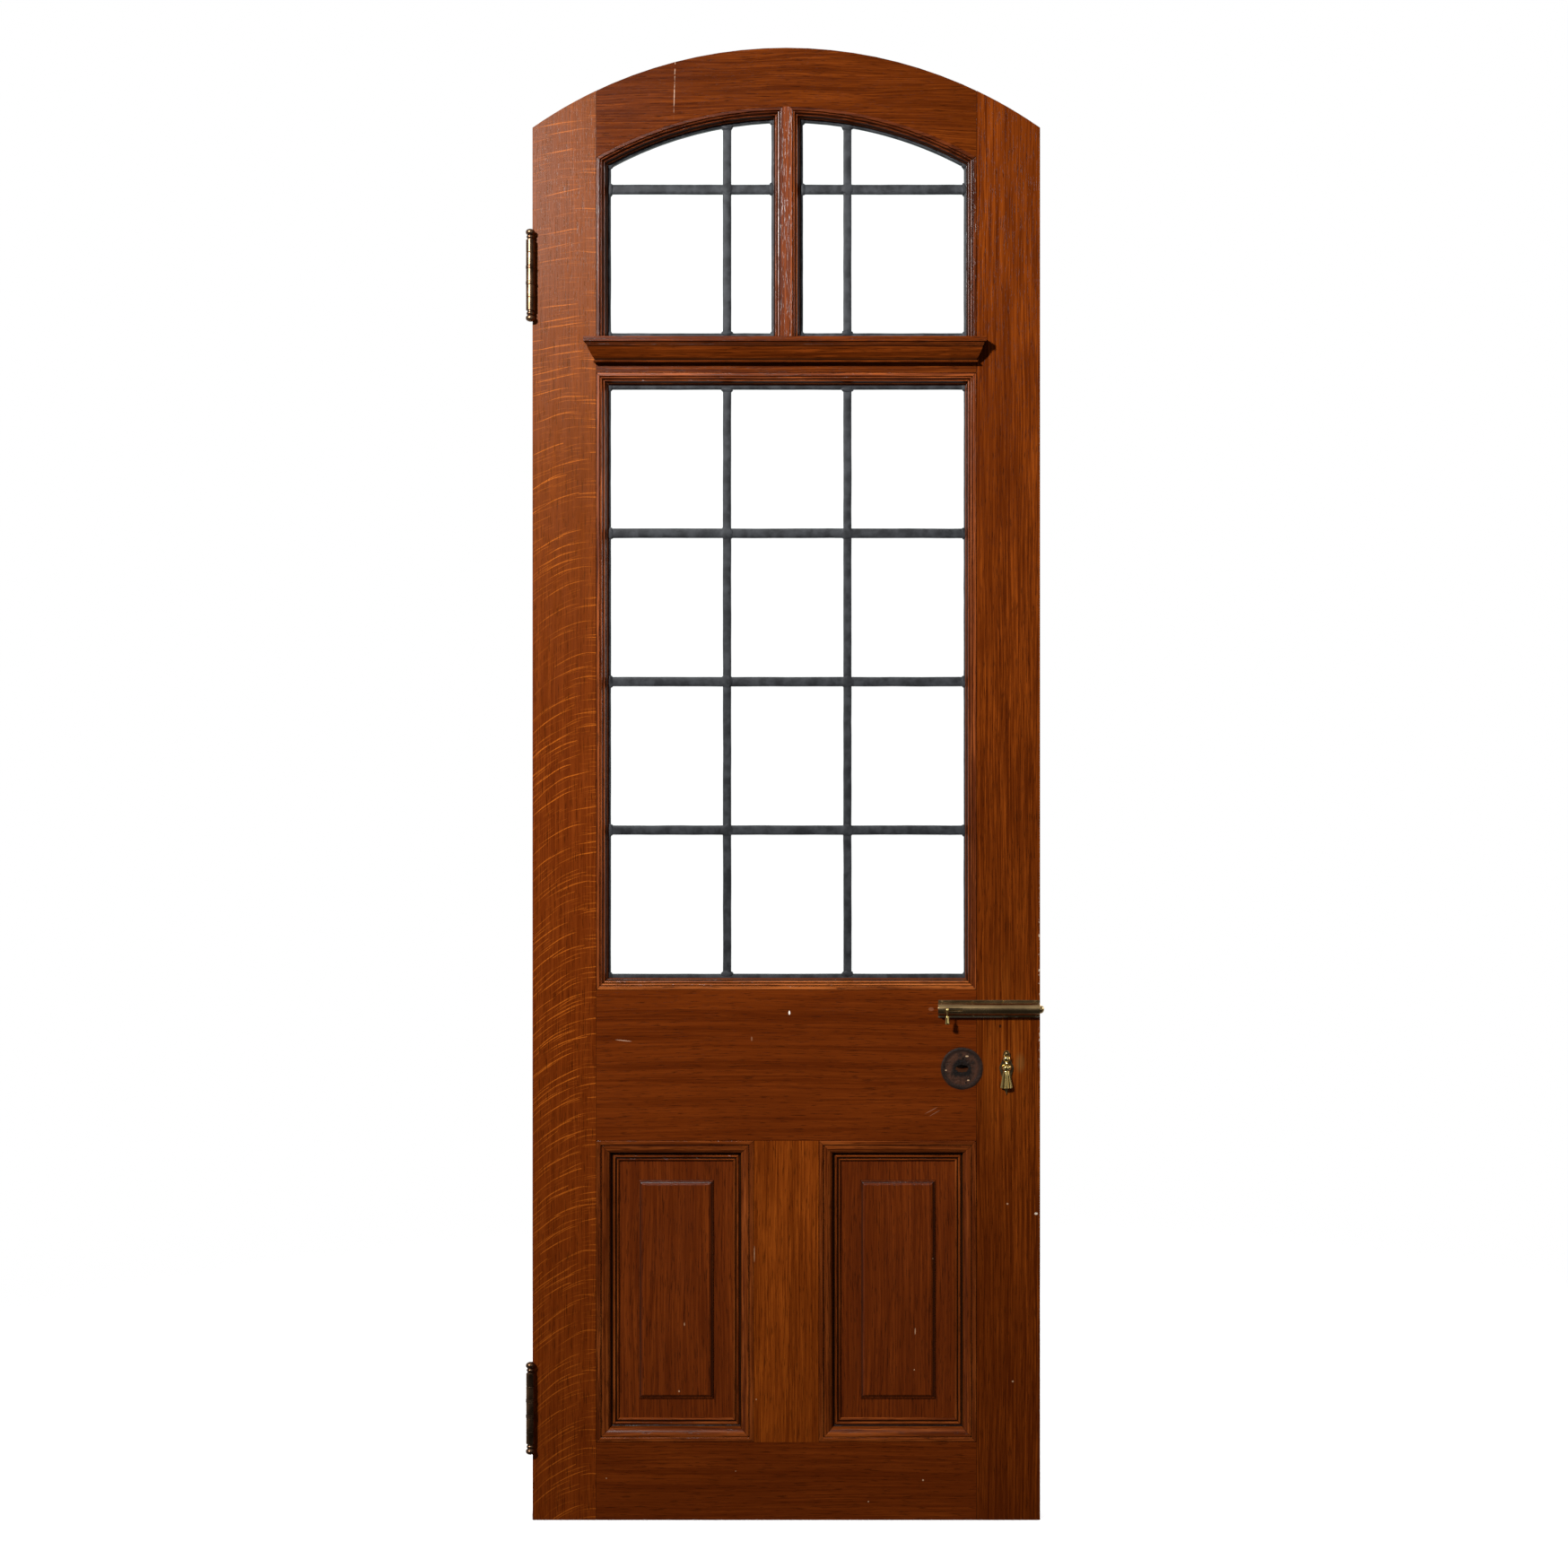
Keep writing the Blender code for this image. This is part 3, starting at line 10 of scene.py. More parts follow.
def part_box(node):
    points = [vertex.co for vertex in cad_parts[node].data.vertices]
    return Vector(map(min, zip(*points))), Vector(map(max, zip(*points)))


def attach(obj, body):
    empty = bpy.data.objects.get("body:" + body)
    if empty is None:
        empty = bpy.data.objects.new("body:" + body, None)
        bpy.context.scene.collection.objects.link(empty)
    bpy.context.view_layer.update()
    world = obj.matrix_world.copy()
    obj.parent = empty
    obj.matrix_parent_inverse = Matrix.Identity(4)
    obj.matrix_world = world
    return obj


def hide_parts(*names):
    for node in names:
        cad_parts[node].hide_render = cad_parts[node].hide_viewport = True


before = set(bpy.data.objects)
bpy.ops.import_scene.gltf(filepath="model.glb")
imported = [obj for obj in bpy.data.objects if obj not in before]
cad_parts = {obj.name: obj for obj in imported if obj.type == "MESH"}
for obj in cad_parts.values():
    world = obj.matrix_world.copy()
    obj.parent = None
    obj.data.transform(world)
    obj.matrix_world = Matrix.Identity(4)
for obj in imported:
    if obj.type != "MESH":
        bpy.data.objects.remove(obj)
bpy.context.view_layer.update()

# Lines of the joinery, read from the solids
DOOR_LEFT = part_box("stile_hinge_side")[0].x
DOOR_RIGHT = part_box("stile_lock_side")[1].x
DOOR_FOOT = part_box("stile_hinge_side")[0].z
DOOR_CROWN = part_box("rail_top_arched")[1].z
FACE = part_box("stile_hinge_side")[0].y
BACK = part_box("stile_hinge_side")[1].y
OPENING_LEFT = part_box("rail_lock")[0].x
OPENING_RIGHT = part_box("rail_lock")[1].x
CENTRE = (DOOR_LEFT + DOOR_RIGHT) / 2

# The arched head: its radius and centre, the least reach of its rim and a height below its shoulders
HEAD_RADIUS = 0.665
HEAD_CENTRE = DOOR_CROWN - HEAD_RADIUS
HEAD_REACH = HEAD_RADIUS - 0.001
SHOULDER_LOW = 1.85

# Easing of the arrises: boards, panels and metal, fine edges, mouldings
BOARD_ARRIS, PANEL_ARRIS, FINE_ARRIS, MOULDING_ARRIS = 0.0009, 0.0004, 0.0003, 0.0002

# Faces that hold dirt and painted shade: the width of a slot, and of a face that is dark along its inner
# corner alone
SLOT_WIDTH, NARROW_FACE = 0.0016, 0.004

# Glue lines in the joints: half width, and how far they sit below the face
GLUE_HALF, GLUE_SINK = 0.0004, 0.0003

# The photograph: 1748 pixels square, one scale for the door's face
PIXELS = 1748
METRES_PER_PIXEL = 0.0013463
PHOTO_DOOR_CENTRE = 876.5
PHOTO_DOOR_FOOT = 1694.5
CAMERA_DISTANCE = 3.25
CAMERA_COLUMN = 1085
CAMERA_ROW = 874
FLOOR_REACH, FLOOR_FULL = 2.3, 0.7

# Leaded lights: outer radius of the arched border, width of the borders, how far a pane runs under its cames,
# how far a corner's solder sits from the glass, and how much of the border the varnish leaves bare
ARCH_RADIUS = 0.5758
LEAD_BORDER = 0.018
PANE_COVER = 0.0045
CORNER_SINK = 0.0035
BARE_LEAD = 0.0028

# Cames: half thickness of the web, half depth of the slots and over all, then how far they waver and dent.
# Solder: how far from the middle its lumps sit and how high they rise.
CAME_WEB, CAME_SLOT, CAME_TOP = 0.0007, 0.0016, 0.0035
CAME_WAVER, CAME_DENT = 0.0004, 0.0002
SOLDER_DEPTH, SOLDER_RISE = 0.0031, 0.0013

# Solder, half width and half height: at a crossing, where an upright or a cross came ends, in a corner
LOWER_SOLDER = (0.0098, 0.0092), (0.0088, 0.0045), (0.0042, 0.0088), (0.0068, 0.0068)
UPPER_SOLDER = (0.0094, 0.0088), (0.0085, 0.0045), (0.0042, 0.0088), (0.0066, 0.0066)
ARCH_SOLDER, ARCH_CORNER_SOLDER = (0.0085, 0.0050), (0.0070, 0.0070)

# Butt hinges: pin, knuckles, leaves and the screws in them
PIN_X, PIN_Y = 0.0043, -0.02275
PIN_RADIUS, PIN_PLAY, PIN_REACH = 0.0032, 0.0005, 0.053
KNUCKLE_RADIUS = 0.0064
HINGE_LENGTH = 0.106
WASHER_HEIGHT, WASHER_PROUD = 0.0042, 0.0006
HINGE_PLAY = 0.0003
FRAME_LEAF, DOOR_LEAF = (0.0, 0.0028), (0.0058, 0.0086)
LEAF_FRONT, LEAF_REAR, LEAF_NECK = -0.01595, 0.01525, -0.0155
LEAF_SCREW_HEIGHTS = (-0.040, -0.014, 0.014, 0.040)
LEAF_SCREW_ROWS, LEAF_SCREW_RADIUS = (-0.0045, 0.0065), 0.0036
BALL_RADIUS, BALL_HEIGHT = 0.0069, 0.0165

# Barrel bolt: face of its plate, its screws from the left end, the rod's domed nose and the pull
BOLT_PLATE_FACE = -0.01805
BOLT_SCREWS, BOLT_LAST_SCREW = (0.006, 0.052, 0.098), 0.007
BOLT_SCREW_OUT, BOLT_SCREW_RADIUS = 0.0108, 0.0017
BOLT_NOSE = 0.0058
PULL_RADIUS, PULL_LENGTH, PULL_PEG_RADIUS = 0.0039, 0.0216, 0.0017

# Keyhole cover: its pin, height, skirt and flutes
COVER_PIN_X, COVER_PIN_Z = 0.7173, 0.5305
COVER_HEIGHT, COVER_SKIRT = 0.0515, 0.0098
FLUTES, FLUTE_TOP, FLUTE_DEPTH = 12, 0.515, 0.15

# The ring left by the handle's rose, the ragged hole in it and the lock's follower behind
ROSE_COLUMN, ROSE_ROW = 1072.5, 1191.2
ROSE_RADIUS, ROSE_STAIN_RADIUS = 0.0313, 0.0335
HOLE_HALF_WIDTH, HOLE_HALF_HEIGHT = 0.0096, 0.0056
FOLLOWER_Y = -0.004

# Mortice lock: its screws, then half thickness, foot and head of latch and bolt, about its middle
FOREND_SCREW = 0.042
LATCH, LOCK_BOLT = (0.0055, 0.006, 0.024), (0.0045, -0.026, -0.006)
LATCH_DEPTH, LATCH_PROUD = 0.004, 0.0006


def photo_x(column):
    """Where a column of the photograph lies on the door's face."""
    return CENTRE + (column - PHOTO_DOOR_CENTRE) * METRES_PER_PIXEL


def photo_z(row):
    """Where a row of the photograph lies on the door's face."""
    return DOOR_FOOT + (PHOTO_DOOR_FOOT - row) * METRES_PER_PIXEL


ROSE_X, ROSE_Z = photo_x(ROSE_COLUMN), photo_z(ROSE_ROW)

# Nicks: column and row of the photograph, half width and, for a long one, half height
RAIL_NICKS = ((968, 1674, 0.0012), (1029, 1650, 0.0016), (676, 1648, 0.0010), (820, 1640, 0.0008))
MUNTIN_NICKS = ((841, 1398, 0.0005, 0.014), (915, 1562, 0.0005, 0.018), (843, 1560, 0.0010))
PANEL_NICKS = (
    (1053, 1413, 0.0010), (1040, 1405, 0.0016), (1020, 1486, 0.0008, 0.006), (1019, 1529, 0.0012),
    (756, 1553, 0.0016), (762, 1478, 0.0008, 0.003), (720, 1573, 0.0050, 0.0006),
)
LOCK_STILE_NICKS = ((1123, 1342, 0.0016), (1129, 1540, 0.0018))

# Marks of wear: column, row, half width, half height, turn in degrees, share and colour
STILE_KNOCK = (1115, 1144, 0.0022, 0.0030, 0, 0.85, (0.010, 0.004, 0.002))
STILE_SPECK = (1155, 1353, 0.0030, 0.0022, 0, 1.0, (0.50, 0.42, 0.32))
RAIL_MARKS = (
    (695, 1160, 0.014, 0.0009, 6, 0.55, (0.42, 0.26, 0.17)),
    (880, 1129, 0.0016, 0.0036, 0, 0.9, (0.72, 0.66, 0.58)),
    (1038, 1238, 0.012, 0.0006, -28, 0.30, (0.36, 0.20, 0.13)),
    (1042, 1241, 0.011, 0.0005, -30, 0.30, (0.36, 0.20, 0.13)),
    (1038, 1125, 0.0048, 0.0034, 0, 0.16, (0.42, 0.20, 0.11)),
    (1037, 1118, 0.0065, 0.0007, 0, 0.7, (0.020, 0.006, 0.003)),
    (1037, 1130, 0.0065, 0.0007, 0, 0.7, (0.020, 0.006, 0.003)),
    (838, 1158, 0.0016, 0.0040, 0, 0.3, (0.30, 0.16, 0.09)),
)
HEAD_CHIP = (666, 98, 0.0050, 0.0016, -28, 0.8, (0.55, 0.38, 0.26))

# Soft marks: column, row, half width, half height and turn. Last, the row about which the arris is rubbed.
HEAD_JOINT = (752, 92, 0.0010, 0.060, 1.5)
STILE_STAIN = (1137, 1185, 0.010, 0.020)
HANDLED_PATCH = (1118, 1165, 0.052, 0.19)
RUBBED_ARRIS_ROW = 1090

# Glints and holes in the crust of the rose's ring: column, row, half width and half height
CRUST_GLINTS = (
    (1078, 1177.5, 0.0030, 0.0014), (1079.5, 1204.3, 0.0022, 0.0012), (1054.5, 1193, 0.0016, 0.0010)
)
CRUST_HOLES = ((1053, 1189.5, 0.0018, 0.0018), (1073.5, 1180, 0.0018, 0.0018), (1077, 1207, 0.0018, 0.0018))

# Rays of the quartered stile: length, spacing, thickness, share of the cells that hold one, and seed
LONG_RAYS = (0.070, 0.0140, 0.00085, 0.55, 1.3)
MIDDLE_RAYS = (0.044, 0.0092, 0.0006, 0.50, 7.7)
SHORT_RAYS = (0.020, 0.0066, 0.00045, 0.45, 3.1)

# Colours of the oak, each pale, middle and deep, as linear light
STILE_OAK = (0.148, 0.0285, 0.0030), (0.112, 0.0195, 0.0019), (0.080, 0.0125, 0.0011)
GOLD_OAK = (0.250, 0.056, 0.005), (0.150, 0.029, 0.0026), (0.080, 0.0135, 0.0011)
BROWN_OAK = (0.190, 0.0395, 0.0034), (0.100, 0.0182, 0.0016), (0.050, 0.0080, 0.0007)
HEAD_OAK = (0.128, 0.0265, 0.0025), (0.074, 0.0138, 0.0013), (0.042, 0.0070, 0.0006)
RED_OAK = (0.160, 0.0310, 0.0034), (0.098, 0.0170, 0.0018), (0.064, 0.0100, 0.0010)
BEAD_OAK = (0.290, 0.070, 0.014), (0.150, 0.032, 0.0060), (0.060, 0.011, 0.0020)
# The foot moulding's oak: the bead oak painted lighter, as painted light from above on its upward slope
SILL_OAK_PAINTED_LIGHTER = (0.430, 0.125, 0.026), (0.260, 0.066, 0.0120), (0.060, 0.011, 0.0020)
DARK_OAK = (0.120, 0.026, 0.0060), (0.066, 0.0130, 0.0024), (0.026, 0.0045, 0.0009)
LOW_OAK = (0.230, 0.056, 0.0100), (0.130, 0.0265, 0.0036), (0.058, 0.0100, 0.0014)
CORNICE_OAK = RED_OAK[0], *HEAD_OAK[1:]
JOINT_DIRT = HEAD_OAK[2], HEAD_OAK[2], (0.012, 0.004, 0.0008)

# Colours of the rays, the dirt and painted shade in the quirks, the glue and the nicks
RAY = (0.320, 0.076, 0.0065)
QUIRK_DIRT_AND_SHADE = (0.004, 0.002, 0.001)
GLUE = (0.010, 0.004, 0.002)
NICK = (0.36, 0.22, 0.13)

# Colours of the metals: bright, dull and dirt
BRONZE = (0.180, 0.098, 0.052), (0.070, 0.040, 0.024), (0.012, 0.008, 0.005)
BOLT_BRASS = (0.34, 0.225, 0.105), (0.21, 0.135, 0.062), (0.05, 0.030, 0.014)
AGED_BRASS = (0.36, 0.25, 0.115), (0.21, 0.14, 0.062), (0.05, 0.030, 0.014)
HANDLED_BRASS = (0.78, 0.58, 0.21), (0.36, 0.25, 0.09), (0.06, 0.04, 0.014)
LOCK_IRON = (0.10, 0.085, 0.07), (0.04, 0.030, 0.024), (0.012, 0.008, 0.006)


# Shader maths

class Value:
    """A value on a surface. Sums written with it become nodes of the finish it belongs to."""

    def __init__(self, tree, socket=None):
        self.tree = tree
        self.socket = socket

    def node(self, kind, settings, inputs, output=0):
        """Adds a node: its settings first, then the values or links of its sockets."""
        made = self.tree.nodes.new(kind)
        for name, setting in settings.items():
            setattr(made, name, setting)
        for key, given in inputs.items():
            if isinstance(given, Value):
                self.tree.links.new(given.socket, made.inputs[key])
            else:
                made.inputs[key].default_value = given
        return Value(self.tree, made.outputs[output])

    def sum(self, operation, first, second):
        return self.node("ShaderNodeMath", {"operation": operation}, {0: first, 1: second})

    def __add__(self, other):
        return self.sum("ADD", self, other)

    def __sub__(self, other):
        return self.sum("SUBTRACT", self, other)

    def __rsub__(self, other):
        return self.sum("SUBTRACT", other, self)

    def __mul__(self, other):
        return self.sum("MULTIPLY", self, other)

    def __truediv__(self, other):
        return self.sum("DIVIDE", self, other)

    def __pow__(self, other):
        return self.sum("POWER", self, other)


def finish(name):
    """Starts a material. Gives it, the place on the piece and the shader."""
    material = bpy.data.materials.new(name)
    material.use_nodes = True
    tree = material.node_tree
    place = Value(tree).node("ShaderNodeTexCoord", {}, {}, "Object")
    return material, place, tree.nodes["Principled BSDF"]


def feed(shader, name, value):
    """Leads a value into a socket of the shader, or sets it to a number or colour."""
    if isinstance(value, Value):
        value.tree.links.new(value.socket, shader.inputs[name])
    else:
        shader.inputs[name].default_value = value


def parts(place):
    """The x, y and z of a place."""
    split = place.node("ShaderNodeSeparateXYZ", {}, {0: place})
    outputs = split.socket.node.outputs
    return [Value(place.tree, outputs[i]) for i in range(3)]


def joined(x, y, z):
    """A place from its x, y and z."""
    tree = next(v.tree for v in (x, y, z) if isinstance(v, Value))
    return Value(tree).node("ShaderNodeCombineXYZ", {}, {0: x, 1: y, 2: z})


def stretched(place, scale, turn=(0, 0, 0), shift=(0, 0, 0)):
    """The place turned, then scaled, for a pattern that runs with the grain."""
    inputs = {"Vector": place, "Location": shift, "Rotation": turn, "Scale": scale}
    return place.node("ShaderNodeMapping", {}, inputs)


def clouds(place, scale, detail=2.0, roughness=0.5):
    """Soft noise from 0 to 1, about 0.5 on the whole. Three scales stretch it along the axes."""
    if isinstance(scale, tuple):
        place, scale = stretched(place, scale), 1.0
    inputs = {"Vector": place, "Scale": scale, "Detail": detail, "Roughness": roughness}
    return place.node("ShaderNodeTexNoise", {}, inputs)


def rise(value, low, high):
    """0 below low, 1 above high and a smooth rise between. It falls if low is above high."""
    settings = {"interpolation_type": "SMOOTHSTEP"}
    return value.node("ShaderNodeMapRange", settings, {"Value": value, "From Min": low, "From Max": high})


def rise_straight(value, low, high):
    """A straight rise from 0 at low to 1 at high."""
    return value.node("ShaderNodeMapRange", {}, {"Value": value, "From Min": low, "From Max": high})


def absolute(value):
    return value.node("ShaderNodeMath", {"operation": "ABSOLUTE"}, {0: value})


def larger(first, second):
    return first.node("ShaderNodeMath", {"operation": "MAXIMUM"}, {0: first, 1: second})


def blend(share, first, second):
    """One colour passing into another."""
    inputs = {0: share, 6: colour(first), 7: colour(second)}
    return share.node("ShaderNodeMix", {"data_type": "RGBA"}, inputs, 2)


def colour(given):
    return given if isinstance(given, Value) else (*given, 1.0)


def spot(place, column, row, half_width, half_height, turn=0.0, soft=0.35, y=FACE):
    """A mark on one face, about a column and row of the photograph: 1 inside an ellipse, 0 outside it."""
    settings = {"vector_type": "TEXTURE"}
    size = (half_width, 0.004, half_height)
    angles = (0, math.radians(turn), 0)
    centre = (photo_x(column), y, photo_z(row))
    inputs = {"Vector": place, "Location": centre, "Rotation": angles, "Scale": size}
    local = place.node("ShaderNodeMapping", settings, inputs)
    away = place.node("ShaderNodeVectorMath", {"operation": "LENGTH"}, {0: local}, "Value")
    return rise(away, 1.0, 1.0 - soft)


def bumps(shader, height, strength, distance):
    """Relief of the surface itself."""
    settings = {"Strength": strength, "Distance": distance, "Height": height}
    feed(shader, "Normal", height.node("ShaderNodeBump", {}, settings))


# Finishes

def grain(place, run):
    """The place with the grain's run brought upright. run is X or Z."""
    if run == "Z":
        return place
    return stretched(place, (1, 1, 1), (0, math.pi / 2, 0))


def fleck_layer(place, climb, length, spacing, thickness, share, seed):
    """Separate thin streaks, one to a cell of a loose net, each along the line of the climb."""
    x, y, z = parts(place)
    drift = clouds(stretched(place, (16, 16, 9), shift=(seed, 0, 0)), 1.0, 1.0) * 0.012
    net = joined((x + y) / length + seed, (z - climb + drift) / spacing, 0.0)
    flat, inputs = {"voronoi_dimensions": "2D"}, {"Vector": net, "Scale": 1.0}
    cell = net.node("ShaderNodeTexVoronoi", flat, inputs, "Position")
    chance = net.node("ShaderNodeTexVoronoi", flat, inputs, "Color")
    along, across, _ = parts(net.node("ShaderNodeVectorMath", {"operation": "SUBTRACT"}, {0: net, 1: cell}))
    kept, lean, _ = parts(chance)
    across = absolute(across + along * (lean - 0.5) * 0.5)
    half = rise(absolute(along), 0.62, 0.10) * (thickness / spacing)
    line = rise(across - half, 0.25 * thickness / spacing, -0.35 * thickness / spacing)
    return line * rise(kept, 1.0 - share, 1.02 - share)


def ray_flecks(place):
    """The pale rays of the quartered stile: they climb from the left edge and flatten out to the right."""
    x, _, z = parts(place)
    share = rise_straight(x, DOOR_LEFT, DOOR_LEFT + 0.0955)
    slant = rise(z, 1.62, 1.10) * 0.034 + 0.013
    climb = (share * 2 - share * share) * slant
    low = rise(z, 1.25, 0.75)
    long = fleck_layer(place, climb, *LONG_RAYS)
    middle = fleck_layer(place, climb * 1.06, *MIDDLE_RAYS)
    short = fleck_layer(place, climb * 0.9, *SHORT_RAYS)
    crowd = rise(clouds(stretched(place, (10, 10, 5), shift=(3, 1, 2)), 1.0, 1.0), 0.32, 0.60)
    broken = rise(clouds(place, (700, 300, 60), 1.0), 0.30, 0.50)
    all_lines = larger(long, larger(middle * (low * 0.4 + 0.4), short * 0.3))
    foot = rise(z, 0.10, 0.75) * 0.35 + 0.65
    return all_lines * foot * (broken * 0.35 + 0.65) * (crowd * 0.55 + 0.45)


def hollow(place):
    """1 in the quirks of a moulding, where dirt and old polish gather and the finish paints shade."""
    return place.node("ShaderNodeAttribute", {"attribute_name": "hollow"}, {}, "Fac")


def oak(
    name, run, pale, mid, deep, contrast=1.0, wave=0.5, gloss=0.25, sheen=0.035, soft=0.0, rays=None, marks=()
):
    """Varnished oak: growth bands, pores, worn tone and, on quartered boards, pale rays."""
    material, place, shader = finish(name)
    along = grain(place, run)
    wander = clouds(along, (7, 7, 2.2), 2.0) * 0.02 * wave
    ax, ay, az = parts(along)
    bent = joined(ax + wander, ay, az)
    bands = clouds(bent, (85, 60, 1.3), 2.0, 0.55)
    lines = clouds(bent, (360, 260, 6.0), 3.0, 0.65)
    fine = clouds(bent, (820, 600, 22), 2.0, 0.6)
    pores = rise(clouds(bent, (640, 520, 38), 2.0, 0.6), 0.56, 0.66)
    patches = clouds(along, (11, 11, 3.2), 3.0, 0.6)

    figure = bands * (0.40 + soft * 0.4) + lines * (0.60 - soft * 0.4)
    tone = blend(rise(figure, 0.38, 0.60), deep, mid)
    tone = blend(rise(lines * 0.62 + fine * 0.38, 0.47, 0.66) * 0.72 * contrast, tone, pale)
    tone = blend(rise(patches, 0.60, 0.34) * 0.50, tone, deep)
    if rays:
        tone = blend(ray_flecks(place) * 0.92, tone, rays)
    tone = blend(pores * 0.62, tone, [part * 0.30 for part in deep])
    rough = clouds(along, (60, 60, 14), 3.0) * 0.14 + (gloss - 0.07)
    relief = lines * 0.4 + fine * 0.4 - pores * 0.8
    for make_mark in marks:
        tone, rough = make_mark(place, tone, rough)
    # Dirt with painted shade: quirks and inner corners of narrow faces go near black
    tone = blend(hollow(place) * 0.85, tone, QUIRK_DIRT_AND_SHADE)
    feed(shader, "Base Color", tone)
    feed(shader, "Roughness", rough)
    bumps(shader, relief, 0.32, 0.0003)
    feed(shader, "Specular IOR Level", sheen)
    return material


def metal(name, bright, dull, dirt, rough, patina, tarnish_scale, rubbed=None):
    """Handled metal: bright where it is rubbed, brown where it is left alone.

    rubbed is the height of an arris that use keeps bright, painted near white there as a highlight.
    """
    material, place, shader = finish(name)
    stains = clouds(place, tarnish_scale, 3.0, 0.55)
    fine = clouds(place, tarnish_scale * 9, 3.0, 0.6)
    tone = blend(rise(stains, 0.64, 0.36) * patina, bright, dull)
    tone = blend(rise(stains * 0.75 + fine * 0.25, 0.40, 0.30) * 0.45, tone, dirt)
    # The rubbed arris: bright from wear, and painted near white as a painted highlight
    if rubbed:
        _, _, z = parts(place)
        line = rise(absolute(z - rubbed), 0.0010, 0.0004) * rise(stains, 0.40, 0.52)
        tone = blend(line, tone, (0.95, 0.85, 0.62))
    feed(shader, "Base Color", tone)
    feed(shader, "Roughness", stains * 0.14 + fine * 0.04 + (rough - 0.09))
    bumps(shader, fine * 0.2 + stains * 0.8, 0.03, 0.00012)
    feed(shader, "Metallic", 1.0)
    return material


def lead_finish(name, varnished=None):
    """Old lead, dull blue-grey. Given two corners, varnish is smeared over the border outside them."""
    material, place, shader = finish(name)
    stains = clouds(place, 55, 4.0, 0.6)
    fine = clouds(place, 700, 3.0, 0.6)
    tone = blend(rise(stains, 0.36, 0.66), (0.012, 0.0126, 0.014), (0.028, 0.0296, 0.0325))
    tone = blend(rise(fine, 0.60, 0.72) * 0.25, tone, (0.09, 0.093, 0.10))
    if varnished:
        x, _, z = parts(place)
        (left, foot), (right, head) = varnished
        fade = 0.0012
        inside = rise(x, left, left + fade) * rise(x, right, right - fade)
        inside = inside * rise(z, foot, foot + fade) * rise(z, head, head - fade)
        outside = 1.0 - inside
        tone = blend(outside * 0.9, tone, (0.075, 0.0165, 0.0030))
    feed(shader, "Base Color", tone)
    feed(shader, "Roughness", stains * 0.2 + fine * 0.1 + 0.36)
    bumps(shader, fine * 0.3 + clouds(place, 160, 3.0) * 0.5, 0.18, 0.0003)
    feed(shader, "Metallic", 0.1)
    feed(shader, "Specular IOR Level", 0.07)
    return material


def glass_finish():
    """Clear drawn glass with a faint wave in it."""
    material, place, shader = finish("Drawn_glass")
    bumps(shader, clouds(place, (9, 9, 5), 1.0), 0.10, 0.004)
    feed(shader, "Base Color", (0.78, 0.93, 0.90, 1.0))
    feed(shader, "Roughness", 0.03)
    feed(shader, "Alpha", 0.05)
    return material


# Modelling

def finished(name, work, body, material, nodes=(), smooth=35):
    """Makes a piece of the door from a bmesh and lets it ride on its body."""
    mesh = bpy.data.meshes.new(name)
    work.to_mesh(mesh)
    work.free()
    piece = bpy.data.objects.new(name, mesh)
    bpy.context.scene.collection.objects.link(piece)
    mesh.materials.append(material)
    mesh.shade_smooth()
    mesh.set_sharp_from_angle(angle=math.radians(smooth))
    even = piece.modifiers.new("even_shading", "WEIGHTED_NORMAL")
    even.keep_sharp = True
    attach(piece, body)
    if nodes:
        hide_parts(*nodes)


def merged_copy(node):
    """A node's solid as one closed bmesh with flat faces in one piece each."""
    work = bmesh.new()
    work.from_mesh(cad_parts[node].data)
    bmesh.ops.remove_doubles(work, verts=work.verts, dist=0.00002)
    bmesh.ops.dissolve_limit(work, angle_limit=math.radians(0.6), verts=work.verts, edges=work.edges)
    return work


def on_rim(edge):
    """Whether an edge lies on the outside of the door, away from the joints."""
    if all(abs(vert.co.z - DOOR_FOOT) < 0.0001 for vert in edge.verts):
        return True
    for side in (DOOR_LEFT, DOOR_RIGHT):
        if all(abs(vert.co.x - side) < 0.0001 for vert in edge.verts):
            return True
    return all(
        vert.co.z > SHOULDER_LOW and (vert.co - Vector((CENTRE, vert.co.y, HEAD_CENTRE))).length > HEAD_REACH
        for vert in edge.verts
    )


def ease(work, width, least_angle=30, chosen=lambda edge: True):
    """Takes the sharpness off the outer arrises of a shape."""
    least = math.radians(least_angle)
    outer = [edge for edge in work.edges if edge.is_manifold and edge.is_convex]
    arrises = [edge for edge in outer if edge.calc_face_angle() > least and chosen(edge)]
    bmesh.ops.bevel(
        work,
        geom=arrises,
        offset=width,
        offset_type="OFFSET",
        affect="EDGES",
        segments=2,
        profile=0.5,
        material=-1,
        clamp_overlap=True,
    )


def mark_hollows(work):
    """Notes the inner corners of narrow faces in an attribute that the finish reads as dirt and painted
    shade.
    """
    inner = set()
    for edge in work.edges:
        if edge.is_manifold and not edge.is_convex and edge.calc_face_angle() > math.radians(15):
            inner.update(edge.verts)
    layer = work.loops.layers.float.new("hollow")
    for face in work.faces:
        width = face.calc_area() / max(edge.calc_length() for edge in face.edges)
        slot = width < SLOT_WIDTH and any(vert in inner for vert in face.verts)
        for loop in face.loops:
            loop[layer] = 1.0 if slot or (width < NARROW_FACE and loop.vert in inner) else 0.0


def eased(name, node, body, width, material, least_angle=30, chosen=lambda edge: True):
    """A node's solid with its arrises eased."""
    work = merged_copy(node)
    ease(work, width, least_angle, chosen=chosen)
    mark_hollows(work)
    finished(name, work, body, material, [node])


